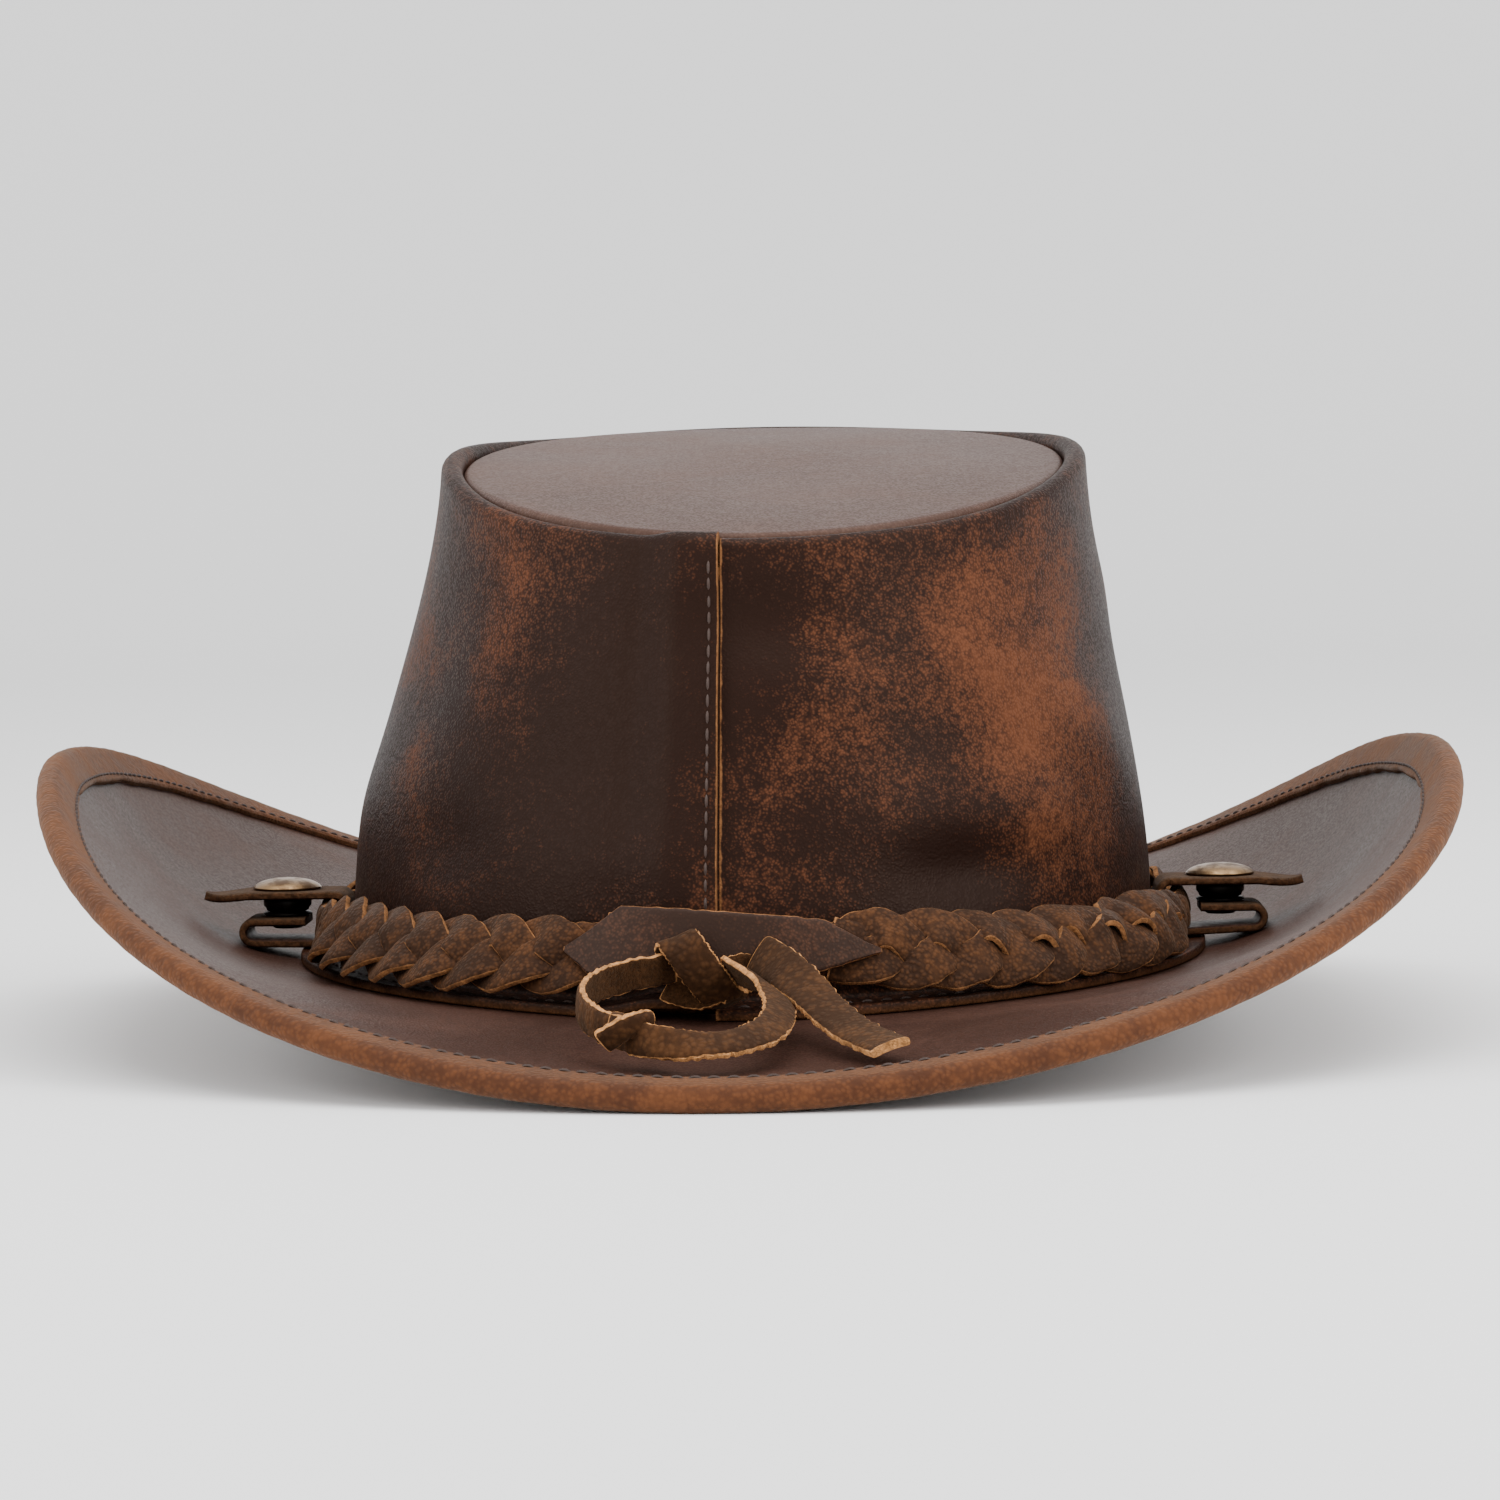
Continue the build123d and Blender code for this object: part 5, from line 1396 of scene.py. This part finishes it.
class HAT_OT_lace(bpy.types.Operator):
    """Make the tie lace: the loop, the tail, the wrap at the tab and the knot at the loop's end"""

    bl_idname = "hat.lace"
    bl_label = "Tie lace"

    def execute(self, context):
        size = sizes()
        self.side, self.out, self.up = loop_frame()
        loop = self.loop(size)
        end_knot = self.end_knot(size)
        tail = self.tail(size)
        self.wrap(size)
        return {"FINISHED"}

    def on_plane(self, points):
        return LOOP_START + points[:, :1] * self.side + points[:, 1:] * self.out

    def loop(self, size):
        """Loop: the lace stands on its edge at the left and leans over, inner face up, at the
        near and right parts."""
        path = smooth_route(self.on_plane(LOOP_POINTS))
        self.loop_path = path
        along = normalised(np.gradient(path, axis=0))
        inward = normalised(np.cross(self.up, along))
        if (inward[len(path) // 2] * (path.mean(axis=0) - path[len(path) // 2])).sum() < 0:
            inward = -inward
        share = np.linspace(0, 1, len(path))
        step = np.clip((share - 0.40) / 0.15, 0, 1) - np.clip((share - 0.86) / 0.14, 0, 1) * 0.6
        lean = np.radians(4) + np.radians(60) * step
        wide = self.up * np.cos(lean)[:, None] + inward * np.sin(lean)[:, None]
        loop = ribbon("lace_loop_leather", path, wide, size.lace_width * 0.37, size.lace_thickness,
                      lace_material(), bulge=0.3 * MM, seed=40, rough=0.16 * MM, columns=8)
        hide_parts("lace_loop")
        return loop

    def tail(self, size):
        """Tail: lies face up, a little tilted, and curls at its raw end."""
        c, s = trig(TAIL_HEADING)
        heading = np.array([c, s, 0.0])
        route = TAIL_START + TAIL_POINTS[:, :1] * heading + TAIL_POINTS[:, 1:] * np.array([0.0, 0.0, 1.0])
        path = smooth_route(route)
        self.tail_path = path
        share = np.linspace(0, 1, len(path))
        across = np.array([-s, c, 0.0])
        lean = np.radians(58) - np.radians(42) * np.clip(share / 0.5, 0, 1)
        wide = across * np.cos(lean)[:, None] + np.array([0.0, 0.0, 1.0]) * np.sin(lean)[:, None]
        half = size.lace_width / 2 * (1 - 0.06 * share)
        tail = ribbon("lace_tail_leather", path, wide, half, size.lace_thickness, lace_material(),
                      bulge=0.45 * MM, seed=44, rough=0.14 * MM, columns=8)
        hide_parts("lace_tail")
        return tail

    def end_knot(self, size):
        """End knot: the loop's end pulled through itself, as two short crossing strips."""
        spot = self.on_plane(LOOP_POINTS[5:6])[0]
        t = np.linspace(-1, 1, 30)[:, None]
        bend = 1.6 * MM * (1 - t**2)
        first = spot + t * np.array([4.6, 1.6, 2.0]) * MM
        first = first + bend * np.array([0.2, -1.0, 0.5]) + np.array([0, -1.0, 1.2]) * MM
        second = spot + t * np.array([5.6, -2.6, -2.6]) * MM
        second = second + bend * np.array([0.3, 0.4, 0.8]) + np.array([2.2, 0.4, -0.6]) * MM
        pieces = []
        for index, (path, wide, half) in enumerate((
            (first, np.array([-0.2, -0.45, 0.85]), 2.6 * MM),
            (second, np.array([0.1, 0.75, 0.65]), 2.9 * MM),
        )):
            taper = half * (1 - 0.35 * np.clip(t[:, 0], 0, 1) ** 2)
            piece = ribbon(f"end_knot_{index + 1}", path, np.tile(wide, (len(path), 1)), taper,
                           size.lace_thickness, lace_material(), bulge=0.5 * MM, seed=50 + 3 * index,
                           rough=0.12 * MM, columns=6)
            pieces.append(piece)
        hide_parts("lace_end_knot")
        return pieces

    def wrap(self, size):
        """Wrap: the lace comes over the top of the loop, slants down across it and tucks in."""
        route = np.array([(-11.5, -119.3, 24.0), (-11.0, -121.0, 27.6), (-9.5, -124.2, 27.0),
                          (-7.0, -125.6, 23.2), (-3.8, -125.2, 19.0), (-1.2, -123.4, 15.6),
                          (0.6, -120.4, 15.4)]) * MM
        path = smooth_route(route)
        wide = np.tile(np.array([0.86, -0.10, 0.36]), (len(path), 1))
        share = np.linspace(-1, 1, len(path))
        wrap = ribbon("lace_wrap", path, wide, 4.3 * MM * (1 - 0.12 * share**2), size.lace_thickness * 0.9,
                      lace_material(), bulge=0.4 * MM, seed=60, rough=0.12 * MM, columns=8)
        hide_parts("lace_knot")
        route = np.array([(4.5, -119.6, 20.5), (1.5, -121.6, 21.0), (-3.0, -122.6, 18.0),
                          (-8.0, -122.0, 16.8), (-12.5, -119.8, 18.8)]) * MM
        path = smooth_route(route)
        wide = np.tile(np.array([0.1, 0.3, 0.95]), (len(path), 1))
        under = ribbon("lace_underwrap", path, wide, 3.9 * MM, size.lace_thickness * 0.9,
                       lace_material(), bulge=0.3 * MM, seed=64, rough=0.12 * MM, columns=8)


# ---- keepers --------------------------------------------------------------------------------

STRAP_GAP, STRAP_REACH, FOLD_RADIUS = 0.5 * MM, 22.6 * MM, 2.3 * MM
STUD_LEG_END, SNAP_REACH, HINGE_REACH = 10.9 * MM, 15.6 * MM, 1.7 * MM
FLAP_TIP, FLAP_POINT = 34 * MM, 9 * MM
CAP_RADIUS, CAP_RISE = 7.7, 2.6
DISC, SOCKET = 0.8 * MM, 2.9 * MM
FACE_GAP = 0.05 * MM


class HAT_OT_keepers(bpy.types.Operator):
    """Make the two snap keepers: strap, flap, cap, socket, stud and post of each"""

    bl_idname = "hat.keepers"
    bl_label = "Keepers"

    def execute(self, context):
        self.keeper(0.0, "right")
        self.keeper(180.0, "left")
        return {"FINISHED"}

    def keeper(self, angle, side):
        size = sizes()
        angle = np.array(angle)
        nx, ny = oval_normal(angle)
        wide = np.array([ny, -nx, 0.0])
        floor = base_height(angle) + flange_top() + STRAP_GAP + size.strap / 2
        outer_low = brim_middle(angle, STRAP_REACH) + size.leather / 2 + STRAP_GAP + size.strap / 2
        stud_leg = outer_low + 2 * FOLD_RADIUS
        disc_low = stud_leg + size.strap / 2 + FACE_GAP
        socket_low = disc_low + DISC + 0.1 * MM
        flap_low = socket_low + SOCKET + FACE_GAP
        hinge = flap_low + size.strap / 2
        flap_body = f"flap_{side}"

        turn = np.radians(np.linspace(180, 270, 8))
        fold = np.radians(np.linspace(-90, 90, 17))
        d = np.r_[HINGE_REACH, HINGE_REACH, HINGE_REACH + 2 * MM + 2 * MM * np.cos(turn),
                  np.linspace(HINGE_REACH + 5 * MM, STRAP_REACH - 2 * MM, 6),
                  STRAP_REACH + FOLD_RADIUS * np.cos(fold),
                  np.linspace(STRAP_REACH - 2 * MM, STUD_LEG_END, 5)]
        z = np.r_[hinge - 3.2 * MM, floor + 3 * MM, floor + 2 * MM + 2 * MM * np.sin(turn),
                  np.linspace(floor + (outer_low - floor) * 0.15, outer_low - 0.1 * MM, 6),
                  outer_low + FOLD_RADIUS + FOLD_RADIUS * np.sin(fold), np.full(5, stud_leg)]
        path = place(angle, d, z)
        run = np.r_[0, np.cumsum(np.linalg.norm(np.diff(path, axis=0), axis=1))]
        at = np.linspace(0, run[-1], 90)
        path = np.stack([np.interp(at, run, path[:, k]) for k in range(3)], axis=-1)
        loop = ribbon(f"keeper_strap_{side}", path, np.tile(wide, (90, 1)), size.strap_width / 2,
                      size.strap * 0.9, keeper_material(), seed=70, rough=0.10 * MM, columns=12, flip=True)
        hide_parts(f"keeper_loop_{side}")

        bend = np.radians(np.linspace(180, 90, 8))
        d = np.r_[HINGE_REACH, HINGE_REACH + 2.4 * MM + 2.4 * MM * np.cos(bend), np.linspace(6 * MM, FLAP_TIP, 40)]
        z = np.r_[hinge - 3.2 * MM, hinge - 2.4 * MM + 2.4 * MM * np.sin(bend),
                  np.full(40, hinge)]
        past = np.clip((d - 24 * MM) / (10 * MM), 0, 1)
        z = z - 1.1 * MM * past + 0.9 * MM * past**5
        path = place(angle, d, z)
        run = np.r_[0, np.cumsum(np.linalg.norm(np.diff(path, axis=0), axis=1))]
        at = np.linspace(0, run[-1], 90)
        path = np.stack([np.interp(at, run, path[:, k]) for k in range(3)], axis=-1)
        left_over = np.clip((run[-1] - at) / FLAP_POINT, 0, 1)
        half = size.strap_width / 2 * (0.16 + 0.84 * np.sin(np.pi / 2 * left_over))
        flap = ribbon(f"keeper_flap_leather_{side}", path, np.tile(wide, (90, 1)), half, size.strap * 0.9,
                      keeper_material(), body=None, seed=74, rough=0.10 * MM, columns=12)
        start = place(angle, HINGE_REACH, hinge - 2.6 * MM)
        end = place(angle, HINGE_REACH + 3.2 * MM, hinge)
        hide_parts(f"keeper_flap_{side}")
        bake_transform(flap)

        axis = place(angle, SNAP_REACH, 0.0 * hinge)
        self.snap(side, axis, flap_body, [value / MM for value in (stud_leg, disc_low, socket_low, flap_low)])

    def snap(self, side, axis, flap_body, levels):
        """Snap: a domed cap with a rolled edge, a socket with a groove, a stud and a post."""
        stud_leg, disc_low, socket_low, flap_low = (float(value) for value in levels)
        cap_low = flap_low + 2.0 + 0.05
        dome = [(CAP_RADIUS * math.sin(math.radians(a)),
                 cap_low + CAP_RISE * math.cos(math.radians(a)) * 0.98)
                for a in (78, 70, 60, 50, 40, 30, 20, 10)]
        profile = [(0, cap_low), (6.6, cap_low), (7.3, cap_low + 0.02), (7.62, cap_low + 0.12),
                   (CAP_RADIUS, cap_low + 0.3), (7.66, cap_low + 0.42), *dome,
                   (0, cap_low + CAP_RISE * 0.98)]
        cap = turned(f"cap_{side}", profile, axis, brass_material(), body=flap_body)
        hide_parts(f"snap_cap_{side}")
        top = socket_low + 2.9
        ring = [(2.6, socket_low), (4.2, socket_low), (4.7, socket_low + 0.25), (4.9, socket_low + 0.9),
                (5.35, socket_low + 1.3), (5.4, top - 0.3), (5.1, top), (1.5, top), (1.5, top - 0.7),
                (2.6, top - 0.7)]
        socket = turned(f"socket_{side}", ring, axis, black_and_shade_material(), body=flap_body, closed=True)
        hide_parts(f"snap_socket_{side}")
        top = disc_low + 0.8
        stud = [(0, disc_low), (5.1, disc_low), (5.4, disc_low + 0.25), (5.4, top - 0.25), (5.1, top),
                (2.5, top), (2.2, top + 0.3), (2.0, top + 1.2), (2.15, top + 1.6), (1.7, top + 2.05),
                (0, top + 2.1)]
        piece = turned(f"stud_{side}", stud, axis, black_and_shade_material())
        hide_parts(f"snap_stud_{side}")
        under = stud_leg - 1.0 - 0.05
        post = [(0, under - 0.8), (2.9, under - 0.8), (3.3, under - 0.6), (3.4, under - 0.3),
                (3.4, under), (0, under)]
        piece = turned(f"post_{side}", post, axis, black_and_shade_material())
        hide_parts(f"snap_post_{side}")


# ---- add-on ---------------------------------------------------------------------------------

STEPS = (HAT_OT_stage, HAT_OT_lace, HAT_OT_brim, HAT_OT_crown, HAT_OT_sweatband, HAT_OT_braid, HAT_OT_tabs,
         HAT_OT_keepers)


class HAT_PT_panel(bpy.types.Panel):
    """Sizes, colours and steps of the hat"""

    bl_label = "Leather Cowboy Hat"
    bl_idname = "HAT_PT_panel"
    bl_space_type = "VIEW_3D"
    bl_region_type = "UI"
    bl_category = "Hat"

    def draw(self, context):
        for settings in (context.scene.hat_sizes, context.scene.hat_colours, context.scene.hat_stage):
            box = self.layout.box()
            for key in settings.bl_rna.properties.keys():
                if key not in ("rna_type", "name"):
                    box.prop(settings, key)
        for step in STEPS:
            self.layout.operator(step.bl_idname)


CLASSES = (HatSizes, HatColours, StageSettings, *STEPS, HAT_PT_panel)


def register():
    for cls in CLASSES:
        bpy.utils.register_class(cls)
    bpy.types.Scene.hat_sizes = PointerProperty(type=HatSizes)
    bpy.types.Scene.hat_colours = PointerProperty(type=HatColours)
    bpy.types.Scene.hat_stage = PointerProperty(type=StageSettings)


def unregister():
    del bpy.types.Scene.hat_sizes, bpy.types.Scene.hat_colours, bpy.types.Scene.hat_stage
    for cls in reversed(CLASSES):
        bpy.utils.unregister_class(cls)


def main():
    """Makes every piece."""
    register()
    for step in STEPS:
        group, name = step.bl_idname.split(".")
        getattr(getattr(bpy.ops, group), name)()
    boxes = {"cad": CAD_BOX, "visual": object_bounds()}
    boxes = {key: [[float(value) for value in corner] for corner in box] for key, box in boxes.items()}


if __name__ == "__main__":
    main()
